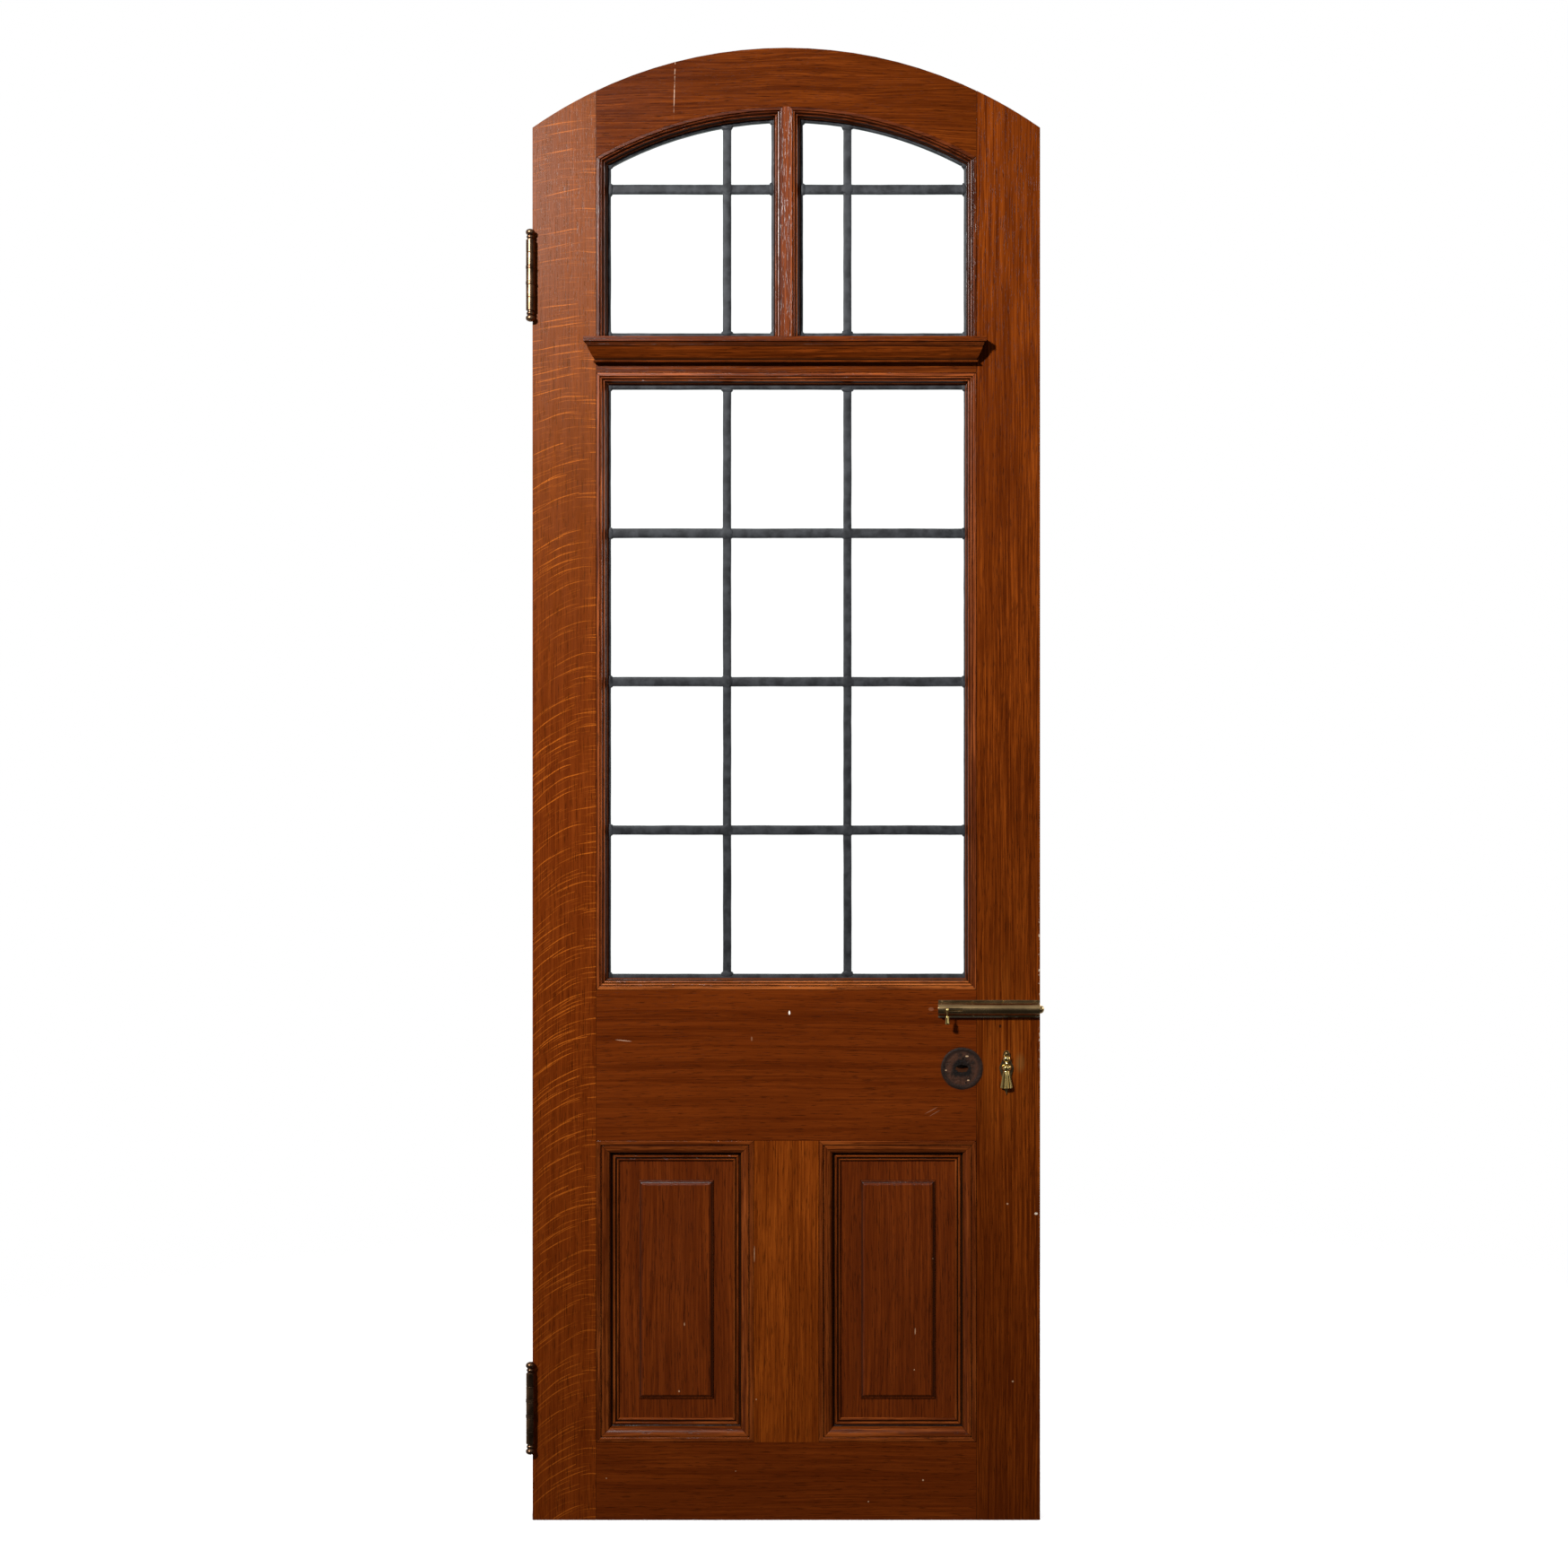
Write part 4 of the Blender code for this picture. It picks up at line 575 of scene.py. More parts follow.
def turned(profile, sides, place=Matrix()):
    """A (radius, height) profile turned about Z and put in place."""
    work = bmesh.new()
    points = [work.verts.new((r, 0, z)) for r, z in profile]
    edges = [work.edges.new(pair) for pair in zip(points, points[1:])]
    around = dict(cent=(0, 0, 0), axis=(0, 0, 1), angle=math.tau, use_merge=True)
    bmesh.ops.spin(work, geom=points + edges, steps=sides, **around)
    bmesh.ops.remove_doubles(work, verts=work.verts, dist=0.000005)
    bmesh.ops.recalc_face_normals(work, faces=work.faces)
    bmesh.ops.transform(work, matrix=place, verts=work.verts)
    return work


def block(low, high, easing=0.0):
    """A closed box between two corners, its edges eased."""
    low, high = Vector(low), Vector(high)
    place = Matrix.Translation((low + high) / 2) @ Matrix.Diagonal((*(high - low), 1.0))
    work = bmesh.new()
    bmesh.ops.create_cube(work, size=1.0, matrix=place)
    if easing:
        ease(work, easing)
    return work


def closed(work, loop):
    """Joins a ring of points by edges."""
    return [work.edges.new(pair) for pair in zip(loop, loop[1:] + loop[:1])]


def only(kind, geometry):
    """The points, edges or faces of a mixed list."""
    return [item for item in geometry if isinstance(item, kind)]


def added(work, other):
    """Adds another shape to a bmesh."""
    mesh = bpy.data.meshes.new("loose_shape")
    other.to_mesh(mesh)
    other.free()
    work.from_mesh(mesh)
    bpy.data.meshes.remove(mesh)
    return work


def rise_number(share):
    """A smooth rise from 0 to 1."""
    share = min(1.0, max(0.0, share))
    return share * share * (3 - 2 * share)


def face_turn(outward):
    """Turns +Z to look outward."""
    return Vector((0, 0, 1)).rotation_difference(Vector(outward)).to_matrix().to_4x4()


def screw(centre, outward, radius, slot_turn):
    """A slotted screw head, its crown a little proud of the metal it holds."""
    crown = radius * 0.16
    profile = [(0, -0.5 * radius), (0.5 * radius, -0.5 * radius), (radius, 0)]
    profile += [(radius * 0.93, crown * 0.45), (radius * 0.6, crown * 0.85), (0, crown)]
    head = turned(profile, 20)
    half = radius * 0.13
    for side in (-half, half):
        everything = head.verts[:] + head.edges[:] + head.faces[:]
        bmesh.ops.bisect_plane(head, geom=everything, plane_co=(0, side, 0), plane_no=(0, 1, 0))
    slot = [f for f in head.faces if f.normal.z > 0.5 and abs(f.calc_center_median().y) < half * 0.99]
    floor = bmesh.ops.extrude_face_region(head, geom=slot)["geom"]
    bmesh.ops.translate(head, verts=only(bmesh.types.BMVert, floor), vec=(0, 0, -radius * 0.3))
    bmesh.ops.delete(head, geom=slot, context="FACES")
    turn = Matrix.Rotation(math.radians(slot_turn), 4, "Z")
    bmesh.ops.transform(head, matrix=Matrix.Translation(centre) @ face_turn(outward) @ turn, verts=head.verts)
    return head


# Joinery

def build_joinery():
    """The oak frame, its panels and its mouldings, with the arrises eased."""
    stile_hinge = oak(
        "Oak_quartered_hinge_stile", "Z", *STILE_OAK,
        contrast=0.8, gloss=0.26, sheen=0.030, rays=RAY, marks=[joint_lines, painted_light_above],
    )
    stile_lock = oak(
        "Oak_lock_stile", "Z", *BROWN_OAK,
        contrast=0.95, soft=-0.3, sheen=0.02, marks=[joint_lines, rose_stain, stile_marks, painted_shade_below],
    )
    head = oak("Oak_arched_rail", "X", *HEAD_OAK, contrast=0.95, wave=2.2, sheen=0.015, marks=[head_marks])
    worn_rail = [rose_stain, rail_marks]
    lock_rail = oak("Oak_lock_rail", "X", *RED_OAK, wave=1.2, soft=0.8, contrast=0.45, marks=worn_rail)
    rail_nicks = nicks(FACE, *RAIL_NICKS)
    rail = oak("Oak_rail", "X", *RED_OAK, wave=0.8, soft=0.5, contrast=0.5, marks=[rail_nicks])
    muntin = oak("Oak_muntin", "Z", *GOLD_OAK, marks=[nicks(FACE, *MUNTIN_NICKS)])
    transom = oak("Oak_transom", "X", *HEAD_OAK, wave=0.6, contrast=1.25)
    cornice = oak("Oak_cornice", "X", *CORNICE_OAK, wave=0.6, gloss=0.25, sheen=0.06)
    panel_nicks = nicks(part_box("panel_left")[0].y, *PANEL_NICKS)
    panel = oak("Oak_panel", "Z", *RED_OAK, wave=1.0, contrast=0.65, sheen=0.16, marks=[panel_nicks])
    worn = dict(contrast=0.9, gloss=0.25)
    upright = oak("Oak_light_moulding_upright", "Z", *BEAD_OAK, sheen=0.12, **worn)
    level = oak("Oak_light_moulding_level", "X", *BEAD_OAK, sheen=0.12, **worn)
    # The foot moulding is painted lighter than the other sides, as painted light from above
    sill_painted_lighter = oak("Oak_light_moulding_foot_painted_lighter", "X", *SILL_OAK_PAINTED_LIGHTER, sheen=0.12, **worn)
    jamb = oak("Oak_upper_moulding_jamb", "Z", *DARK_OAK, sheen=0.09, **worn)
    arch = oak("Oak_upper_moulding_head", "X", *DARK_OAK, sheen=0.06, **worn)
    centre_bead = oak("Oak_mullion", "Z", *BROWN_OAK, sheen=0.12, **worn)
    panel_upright = oak("Oak_panel_moulding_upright", "Z", *LOW_OAK, sheen=0.09, **worn)
    panel_level = oak("Oak_panel_moulding_level", "X", *LOW_OAK, sheen=0.09, **worn)

    for node, material in (
        ("stile_hinge_side", stile_hinge),
        ("stile_lock_side", stile_lock),
        ("rail_top_arched", head),
        ("rail_transom", transom),
        ("rail_lock", lock_rail),
        ("rail_bottom", rail),
        ("muntin_bottom", muntin),
    ):
        eased("eased_" + node, node, "door", BOARD_ARRIS, material, chosen=on_rim)
    eased("eased_cornice", "cornice_transom", "door", FINE_ARRIS, cornice, 40)
    eased("eased_mullion", "mullion_upper", "door", MOULDING_ARRIS, centre_bead, 40)
    for side in ("left", "right"):
        eased(f"fielded_panel_{side}", f"panel_{side}", "door", PANEL_ARRIS, panel)
        for edge, material in zip(("bottom", "right", "top", "left"), (panel_level, panel_upright) * 2):
            moulding(f"moulding_panel_{side}_{edge}", material)
        moulding(f"moulding_upper_{side}_jamb", jamb)
        moulding(f"moulding_upper_{side}_head", arch)
    for edge, material in (("bottom", sill_painted_lighter), ("right", upright), ("top", level), ("left", upright)):
        moulding(f"moulding_light_{edge}", material)


def moulding(node, material):
    """A planted moulding with its fine edges eased."""
    eased("eased_" + node, node, "door", MOULDING_ARRIS, material, 40)


def marked(place, tone, *marks):
    """Adds marks to the face: column, row, half width, half height, turn, share and colour of each."""
    for column, row, half_width, half_height, turn, share, shade in marks:
        mark = spot(place, column, row, half_width, half_height, turn)
        tone = blend(mark * share, tone, shade)
    return tone


def rose_stain(place, tone, rough):
    """Dark bare wood where the handle's rose was."""
    ragged = clouds(place, 120, 3.0) * 0.35
    disc = spot(place, ROSE_COLUMN, ROSE_ROW, ROSE_STAIN_RADIUS, ROSE_STAIN_RADIUS, soft=0.10)
    tone = blend(disc * (ragged * 1.2 + 0.62), tone, (0.020, 0.009, 0.004))
    return tone, rough + disc * 0.3


def joint_lines(place, tone, rough):
    """The fine dark line where the rails meet a stile."""
    x, _, _ = parts(place)
    for edge in (OPENING_LEFT, OPENING_RIGHT):
        line = rise(absolute(x - edge), 0.0008, 0.0003)
        tone = blend(line * 0.8, tone, GLUE)
    return tone, rough


def painted_light_above(place, tone, rough):
    """The upper part of a stile, painted lighter and yellower towards the top, as painted light."""
    _, _, z = parts(place)
    return blend(rise(z, 0.85, 1.75) * 0.28, tone, (0.130, 0.044, 0.0050)), rough


def painted_shade_below(place, tone, rough):
    """The foot of a stile, painted darker towards the bottom, as painted shade."""
    _, _, z = parts(place)
    return blend(rise(z, 0.55, -0.17) * 0.32, tone, (0.040, 0.0055, 0.0008)), rough


def nicks(y, *places):
    """Pale nicks in the polish of a face at y: column, row, half width and, for a long one, half height."""

    def nicked(place, tone, rough):
        for column, row, *size in places:
            nick = spot(place, column, row, size[0], size[-1], y=y)
            tone = blend(nick * 0.8, tone, NICK)
        return tone, rough

    return nicked


def stile_marks(place, tone, rough):
    """The lock stile beside the spindle hole: a handled patch, a rubbed arris, knocks and specks."""
    x, y, z = parts(place)
    streaks = clouds(place, (420, 420, 9), 2.0)
    handled = spot(place, *HANDLED_PATCH, soft=0.75)
    tone = blend(handled * rise(streaks, 0.40, 0.66) * 0.42, tone, (0.230, 0.055, 0.0055))
    arris = rise(x, DOOR_RIGHT - 0.0034, DOOR_RIGHT - 0.0012) * rise(y, FACE + 0.002, FACE + 0.001)
    away = absolute(z - photo_z(RUBBED_ARRIS_ROW))
    rubbed = rise(clouds(place, 210, 2.0), 0.56, 0.64) * rise(away, 0.16, 0.03)
    tone = blend(arris * rubbed * 0.7, tone, (0.46, 0.34, 0.22))
    stain = spot(place, *STILE_STAIN, soft=0.8)
    tone = blend(stain * 0.35, tone, (0.150, 0.075, 0.020))
    tone = marked(place, tone, STILE_KNOCK, STILE_SPECK)
    return nicks(FACE, *LOCK_STILE_NICKS)(place, tone, rough)


def rail_marks(place, tone, rough):
    """Scratches, a filled screw hole and a speck of paint on the lock rail."""
    return marked(place, tone, *RAIL_MARKS), rough


def head_marks(place, tone, rough):
    """The pale filled joint in the arched rail and the chip at its left end."""
    joint = spot(place, *HEAD_JOINT, soft=0.6)
    broken = rise(clouds(place, 160, 2.0), 0.38, 0.60)
    tone = blend(joint * broken * 0.55, tone, (0.50, 0.34, 0.24))
    return marked(place, tone, HEAD_CHIP), rough


# Leaded lights

def came_section(width):
    """The outline of a came across its run: (across, depth) points about its middle."""
    half = width / 2
    lip = -CAME_SLOT - 0.0006
    shoulder, crest = -CAME_TOP + 0.0004, -CAME_TOP + 0.0001
    front = [(-CAME_WEB, -CAME_SLOT), (-half * 0.94, -CAME_SLOT), (-half, lip), (-half * 0.86, shoulder)]
    front += [(-half * 0.45, crest), (0, -CAME_TOP), (half * 0.45, crest)]
    front += [(half * 0.86, shoulder), (half, lip), (half * 0.94, -CAME_SLOT), (CAME_WEB, -CAME_SLOT)]
    return front + [(-u, -v) for u, v in front]


def came(width, start, end, middle, seed):
    """A straight length of came between two (across, height) points."""
    start, end = Vector(start), Vector(end)
    run = end - start
    along = run.normalized()
    across = Vector((along.y, -along.x))
    steps = max(2, round(run.length / 0.02))
    work = bmesh.new()
    loop = []
    for u, v in came_section(width):
        corner = start + across * u
        loop.append(work.verts.new((corner.x, middle + v, corner.y)))
    edges = closed(work, loop)
    bmesh.ops.edgeloop_fill(work, edges=edges)
    step = Vector((run.x, 0, run.y)) / steps
    for _ in range(steps):
        grown = bmesh.ops.extrude_edge_only(work, edges=edges)["geom"]
        bmesh.ops.translate(work, verts=only(bmesh.types.BMVert, grown), vec=step)
        edges = [edge for edge in only(bmesh.types.BMEdge, grown) if edge.is_boundary]
    bmesh.ops.edgeloop_fill(work, edges=edges)
    bmesh.ops.recalc_face_normals(work, faces=work.faces)
    for vert in work.verts:
        push = noise.noise(Vector((vert.co.x * 30, seed, vert.co.z * 30))) * CAME_WAVER
        lift = noise.noise(Vector((vert.co.x * 55, seed + 7, vert.co.z * 55))) * CAME_DENT
        vert.co += Vector((across.x * push, lift, across.y * push))
    return work


def arched_came(width, radius, centre_z, x_from, x_to, middle):
    """A came bent to the arch, between two x."""
    angles = [math.asin((x - CENTRE) / radius) for x in (x_from, x_to)]
    work = bmesh.new()
    loop = [work.verts.new((CENTRE, middle + v, centre_z + radius + u)) for u, v in came_section(width)]
    edges = closed(work, loop)
    centre = (CENTRE, 0, centre_z)
    bmesh.ops.rotate(work, verts=loop, cent=centre, matrix=Matrix.Rotation(angles[0], 3, "Y"))
    sweep = angles[1] - angles[0]
    bmesh.ops.spin(work, geom=loop + edges, cent=centre, axis=(0, 1, 0), angle=sweep, steps=18)
    bmesh.ops.edgeloop_fill(work, edges=[e for e in work.edges if e.is_boundary])
    bmesh.ops.recalc_face_normals(work, faces=work.faces)
    return work


def solder(x, z, half_width, half_height, middle, seed):
    """Lumps of solder over a joint, one on each face."""
    work = bmesh.new()
    for side in (-1, 1):
        lump = bmesh.new()
        bmesh.ops.create_uvsphere(lump, u_segments=18, v_segments=10, radius=1.0)
        for vert in lump.verts:
            bulge = 1 + 0.28 * noise.noise(vert.co * 1.6 + Vector((seed, side, seed * 3)))
            vert.co.x *= half_width * bulge
            vert.co.z *= half_height * bulge
            vert.co.y *= SOLDER_RISE * bulge
        centre = (x, middle + side * SOLDER_DEPTH, z)
        bmesh.ops.translate(lump, verts=lump.verts, vec=centre)
        added(work, lump)
    return work


def gaps(panes, low, axis):
    """Width of the first border along an axis, then middles and widths of the cames between the panes."""
    spans = sorted({(round(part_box(p)[0][axis], 4), round(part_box(p)[1][axis], 4)) for p in panes})
    inner = [(a + PANE_COVER, b - PANE_COVER) for a, b in spans]
    cames = [((a[1] + b[0]) / 2, b[0] - a[1]) for a, b in zip(inner, inner[1:])]
    return inner[0][0] - low, cames


def build_lower_light(lead):
    """Border, two uprights and three rows of cross cames, soldered at every meeting."""
    low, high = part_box("lead_lower")
    middle = (low.y + high.y) / 2
    panes = [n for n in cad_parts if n.startswith("pane_lower")]
    side, uprights = gaps(panes, low.x, 0)
    foot, crosses = gaps(panes, low.z, 2)
    left, right = low.x + side, high.x - side
    bottom, top = low.z + foot, high.z - foot
    work = bmesh.new()
    for x, seed in ((low.x + side / 2, 1), (high.x - side / 2, 2)):
        added(work, came(side, (x, low.z), (x, high.z), middle, seed))
    for z in (low.z + foot / 2, high.z - foot / 2):
        added(work, came(foot, (left, z), (right, z), middle, 3 + z))
    columns = [left]
    for x, width in uprights:
        added(work, came(width, (x, bottom), (x, top), middle, 5 + x))
        columns += [x - width / 2, x + width / 2]
    columns.append(right)
    for z, width in crosses:
        for start, end in zip(columns[0::2], columns[1::2]):
            added(work, came(width, (start, z), (end, z), middle, 9 + z + start))
    crossing, upright_end, cross_end, corner = LOWER_SOLDER
    joints = []
    for x, _ in uprights:
        joints += [(x, z, *crossing) for z, _ in crosses]
        joints += [(x, z, *upright_end) for z in (bottom, top)]
    for z, _ in crosses:
        joints += [(x, z, *cross_end) for x in (left, right)]
    for x in (left - CORNER_SINK, right + CORNER_SINK):
        joints += [(x, z, *corner) for z in (bottom - CORNER_SINK, top + CORNER_SINK)]
    seed = 1.0
    for joint in joints:
        added(work, solder(*joint, middle, seed))
        seed += 1.7
    finished("lead_cames_lower", work, "door", lead, ["lead_lower"], 50)


def build_upper_light(side_name, lead):
    """An arched light: border, one upright and one cross came."""
    node = f"lead_upper_{side_name}"
    low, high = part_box(node)
    middle = (low.y + high.y) / 2
    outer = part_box(f"pane_upper_{side_name}_low_outer")
    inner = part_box(f"pane_upper_{side_name}_low_inner")
    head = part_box(f"pane_upper_{side_name}_head_outer")
    foot = outer[0].z + PANE_COVER - low.z
    first, last = (outer, inner) if outer[0].x < inner[0].x else (inner, outer)
    left, right = first[0].x + PANE_COVER, last[1].x - PANE_COVER
    up_from, up_to = first[1].x - PANE_COVER, last[0].x + PANE_COVER
    cross_from, cross_to = outer[1].z - PANE_COVER, head[0].z + PANE_COVER
    arch = high.z - ARCH_RADIUS

    def arch_at(x, radius):
        return arch + math.sqrt(radius**2 - (x - CENTRE) ** 2)

    upright, cross = up_to - up_from, cross_to - cross_from
    x_up, z_cross = (up_from + up_to) / 2, (cross_from + cross_to) / 2
    work = bmesh.new()
    for name, edge, glass, seed in (("left", low.x, left, 11), ("right", high.x, right, 12)):
        x, end = (edge + glass) / 2, arch_at(glass, ARCH_RADIUS - LEAD_BORDER)
        if name == side_name:
            end = arch_at(edge, ARCH_RADIUS) - 0.001
        added(work, came(abs(glass - edge), (x, low.z), (x, end), middle, seed))
    bottom, foot_middle = low.z + foot, low.z + foot / 2
    added(work, came(foot, (left, foot_middle), (right, foot_middle), middle, 13))
    added(work, arched_came(LEAD_BORDER, ARCH_RADIUS - LEAD_BORDER / 2, arch, left, right, middle))
    top = arch_at(x_up, ARCH_RADIUS - LEAD_BORDER)
    added(work, came(upright, (x_up, bottom), (x_up, top + 0.001), middle, 14))
    for start, end in ((left, up_from), (up_to, right)):
        added(work, came(cross, (start, z_cross), (end, z_cross), middle, 15 + start))
    crossing, upright_end, cross_end, corner = UPPER_SOLDER
    joints = [(x_up, z_cross, *crossing), (x_up, bottom, *upright_end), (x_up, top, *ARCH_SOLDER)]
    for x, sunk in ((left, left - CORNER_SINK), (right, right + CORNER_SINK)):
        joints.append((x, z_cross, *cross_end))
        joints.append((sunk, bottom - CORNER_SINK, *corner))
        joints.append((sunk, arch_at(x, ARCH_RADIUS - LEAD_BORDER) + CORNER_SINK, *ARCH_CORNER_SOLDER))
    for i, joint in enumerate(joints):
        added(work, solder(*joint, middle, 30 + i * 1.9 + joint[0]))
    finished(f"lead_cames_{side_name}", work, "door", lead, [node], 50)


# Furniture

def hinge_levels():
    """Bottom and top of each of the five knuckles, from the lowest, about the hinge's middle."""
    height = (HINGE_LENGTH - 2 * WASHER_HEIGHT - 6 * HINGE_PLAY) / 5
    levels, z = [], -HINGE_LENGTH / 2
    for i in range(5):
        levels.append((z, z + height))
        z += height + HINGE_PLAY
        if i in (1, 2):
            z += WASHER_HEIGHT + HINGE_PLAY
    return levels


def knuckle(low, high):
    """The profile of a knuckle with softly rounded ends."""
    radius, soft = KNUCKLE_RADIUS, 0.0006
    return [
        (radius - soft, low), (radius - soft * 0.3, low + soft * 0.3), (radius, low + soft),
        (radius, high - soft), (radius - soft * 0.3, high - soft * 0.3), (radius - soft, high),
    ]


def washer(low, high):
    """The profile of a turned washer: two rings with a hollow between."""
    radius, tall = KNUCKLE_RADIUS + WASHER_PROUD, high - low
    steps = [(0.94, 0), (1.0, 0.10), (1.0, 0.32), (0.93, 0.42), (0.93, 0.58), (1.0, 0.68), (1.0, 0.90)]
    steps.append((0.94, 1))
    return [(radius * r, low + tall * h) for r, h in steps]


def ball_tip(up):
    """The turned ball on the end of a hinge pin. up is 1 or -1."""
    steps = [(0.60, 0), (0.62, 0.10), (0.74, 0.15), (0.82, 0.21), (0.83, 0.29), (0.76, 0.36), (0.60, 0.41)]
    steps += [(0.72, 0.46), (0.90, 0.53), (0.98, 0.61), (1.0, 0.69), (0.96, 0.78), (0.83, 0.87), (0.60, 0.94)]
    steps += [(0.30, 0.985), (0, 1.0)]
    return [(r * BALL_RADIUS, up * (PIN_REACH + h * BALL_HEIGHT)) for r, h in steps]


def hinge_leaf(work, leaf, middle, levels, neck_y, outward, turn, turn_step):
    """Adds a leaf, the necks that carry its knuckles, and its screws. outward is 1 or -1 along x."""
    left, right = leaf
    low, high = (left, LEAF_FRONT, middle - PIN_REACH), (right, LEAF_REAR, middle + PIN_REACH)
    added(work, block(low, high, PANEL_ARRIS))
    for bottom, top in levels:
        added(work, block((left, neck_y, middle + bottom), (right, LEAF_NECK, middle + top)))
    for i, z in enumerate(LEAF_SCREW_HEIGHTS):
        row = LEAF_SCREW_ROWS[(i + (outward < 0)) % 2]
        centre = (right if outward > 0 else left, row, middle + z)
        added(work, screw(centre, (outward, 0, 0), LEAF_SCREW_RADIUS, turn + turn_step * i))


def build_hinge(label, bronze):
    """One butt hinge in two pieces: the leaf with the pin on the door frame, the other leaf on the door."""
    low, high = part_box(f"hinge_{label}_frame_leaf")
    middle = (low.z + high.z) / 2
    pin = Matrix.Translation((PIN_X, PIN_Y, middle))
    levels = hinge_levels()
    (foot, foot_top), (bottom, top), (head, head_top) = levels[0::2]
    near, far = HINGE_PLAY / 2, HINGE_PLAY / 2 + WASHER_HEIGHT
    profile = ball_tip(-1)[::-1] + knuckle(foot, foot_top) + [(PIN_RADIUS, foot_top)]
    profile += [(PIN_RADIUS, bottom - far), *washer(bottom - far, bottom - near), *knuckle(bottom, top)]
    profile += [*washer(top + near, top + far), (PIN_RADIUS, top + far)]
    profile += [(PIN_RADIUS, head), *knuckle(head, head_top)] + ball_tip(1)
    work = turned(profile, 40, pin)
    hinge_leaf(work, FRAME_LEAF, middle, levels[0::2], PIN_Y, 1, 25, 50)
    name = f"hinge_{label}_pin_and_leaf"
    finished(name, work, "frame_leaves", bronze, [f"hinge_{label}_frame_leaf"])

    work = bmesh.new()
    bore = PIN_RADIUS + PIN_PLAY
    for bottom, top in levels[1::2]:
        sleeve = [(bore, bottom), *knuckle(bottom, top), (bore, top), (bore, bottom)]
        added(work, turned(sleeve, 40, pin))
    hinge_leaf(work, DOOR_LEAF, middle, levels[1::2], PIN_Y + PIN_RADIUS + 0.0008, -1, 70, 40)
    finished(f"hinge_{label}_door_side", work, "door", bronze, [f"hinge_{label}_door_leaf"])


def build_bolt(case, brass, bright):
    """The barrel bolt: eased case, domed rod and the bright hanging pull."""
    work = merged_copy("bolt_case")
    ease(work, PANEL_ARRIS, 40)
    low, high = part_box("bolt_case")
    axis_z = (low.z + high.z) / 2
    for x in [low.x + offset for offset in BOLT_SCREWS] + [high.x - BOLT_LAST_SCREW]:
        for z in (axis_z - BOLT_SCREW_OUT, axis_z + BOLT_SCREW_OUT):
            added(work, screw((x, BOLT_PLATE_FACE, z), (0, -1, 0), BOLT_SCREW_RADIUS, 30 + x * 900))
    finished("bolt_barrel_and_plate", work, "door", case, ["bolt_case"])

    low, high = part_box("bolt_rod")
    axis = ((low.y + high.y) / 2, (low.z + high.z) / 2)
    radius, length = (high.z - low.z) / 2, high.x - low.x
    profile = [(0, 0), (radius * 0.9, 0), (radius, radius * 0.1), (radius, length - BOLT_NOSE)]
    for i in range(1, 8):
        angle = math.pi / 2 * i / 8
        profile.append((radius * math.cos(angle), length - BOLT_NOSE + BOLT_NOSE * math.sin(angle)))
    profile.append((0, length))
    place = Matrix.Translation((low.x, *axis)) @ Matrix.Rotation(math.pi / 2, 4, "Y")
    finished("bolt_domed_rod", turned(profile, 36, place), "bolt", brass, ["bolt_rod"])

    low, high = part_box("bolt_pull")
    drop_y = low.y + PULL_RADIUS
    place = Matrix.Translation(((low.x + high.x) / 2, drop_y, axis_z))
    steps = [(0, -0.11), (0.26, -0.105), (0.46, -0.07), (0.60, 0), (0.52, 0.06), (0.40, 0.11), (0.29, 0.17)]
    steps += [(0.29, 0.40), (0.45, 0.42), (0.68, 0.45), (0.80, 0.50), (0.84, 0.58), (0.86, 0.72)]
    steps += [(0.96, 0.86), (1.0, 0.92), (0.95, 0.965), (0.80, 0.99), (0, 1.0)]
    work = turned([(r * PULL_RADIUS, -h * PULL_LENGTH) for r, h in steps], 28, place)
    reach = high.y - drop_y
    peg = [(0, 0), (PULL_PEG_RADIUS, 0), (PULL_PEG_RADIUS, reach), (0, reach)]
    added(work, turned(peg, 20, place @ Matrix.Rotation(-math.pi / 2, 4, "X")))
    finished("bolt_drop_pull", work, "bolt", bright, ["bolt_pull"])


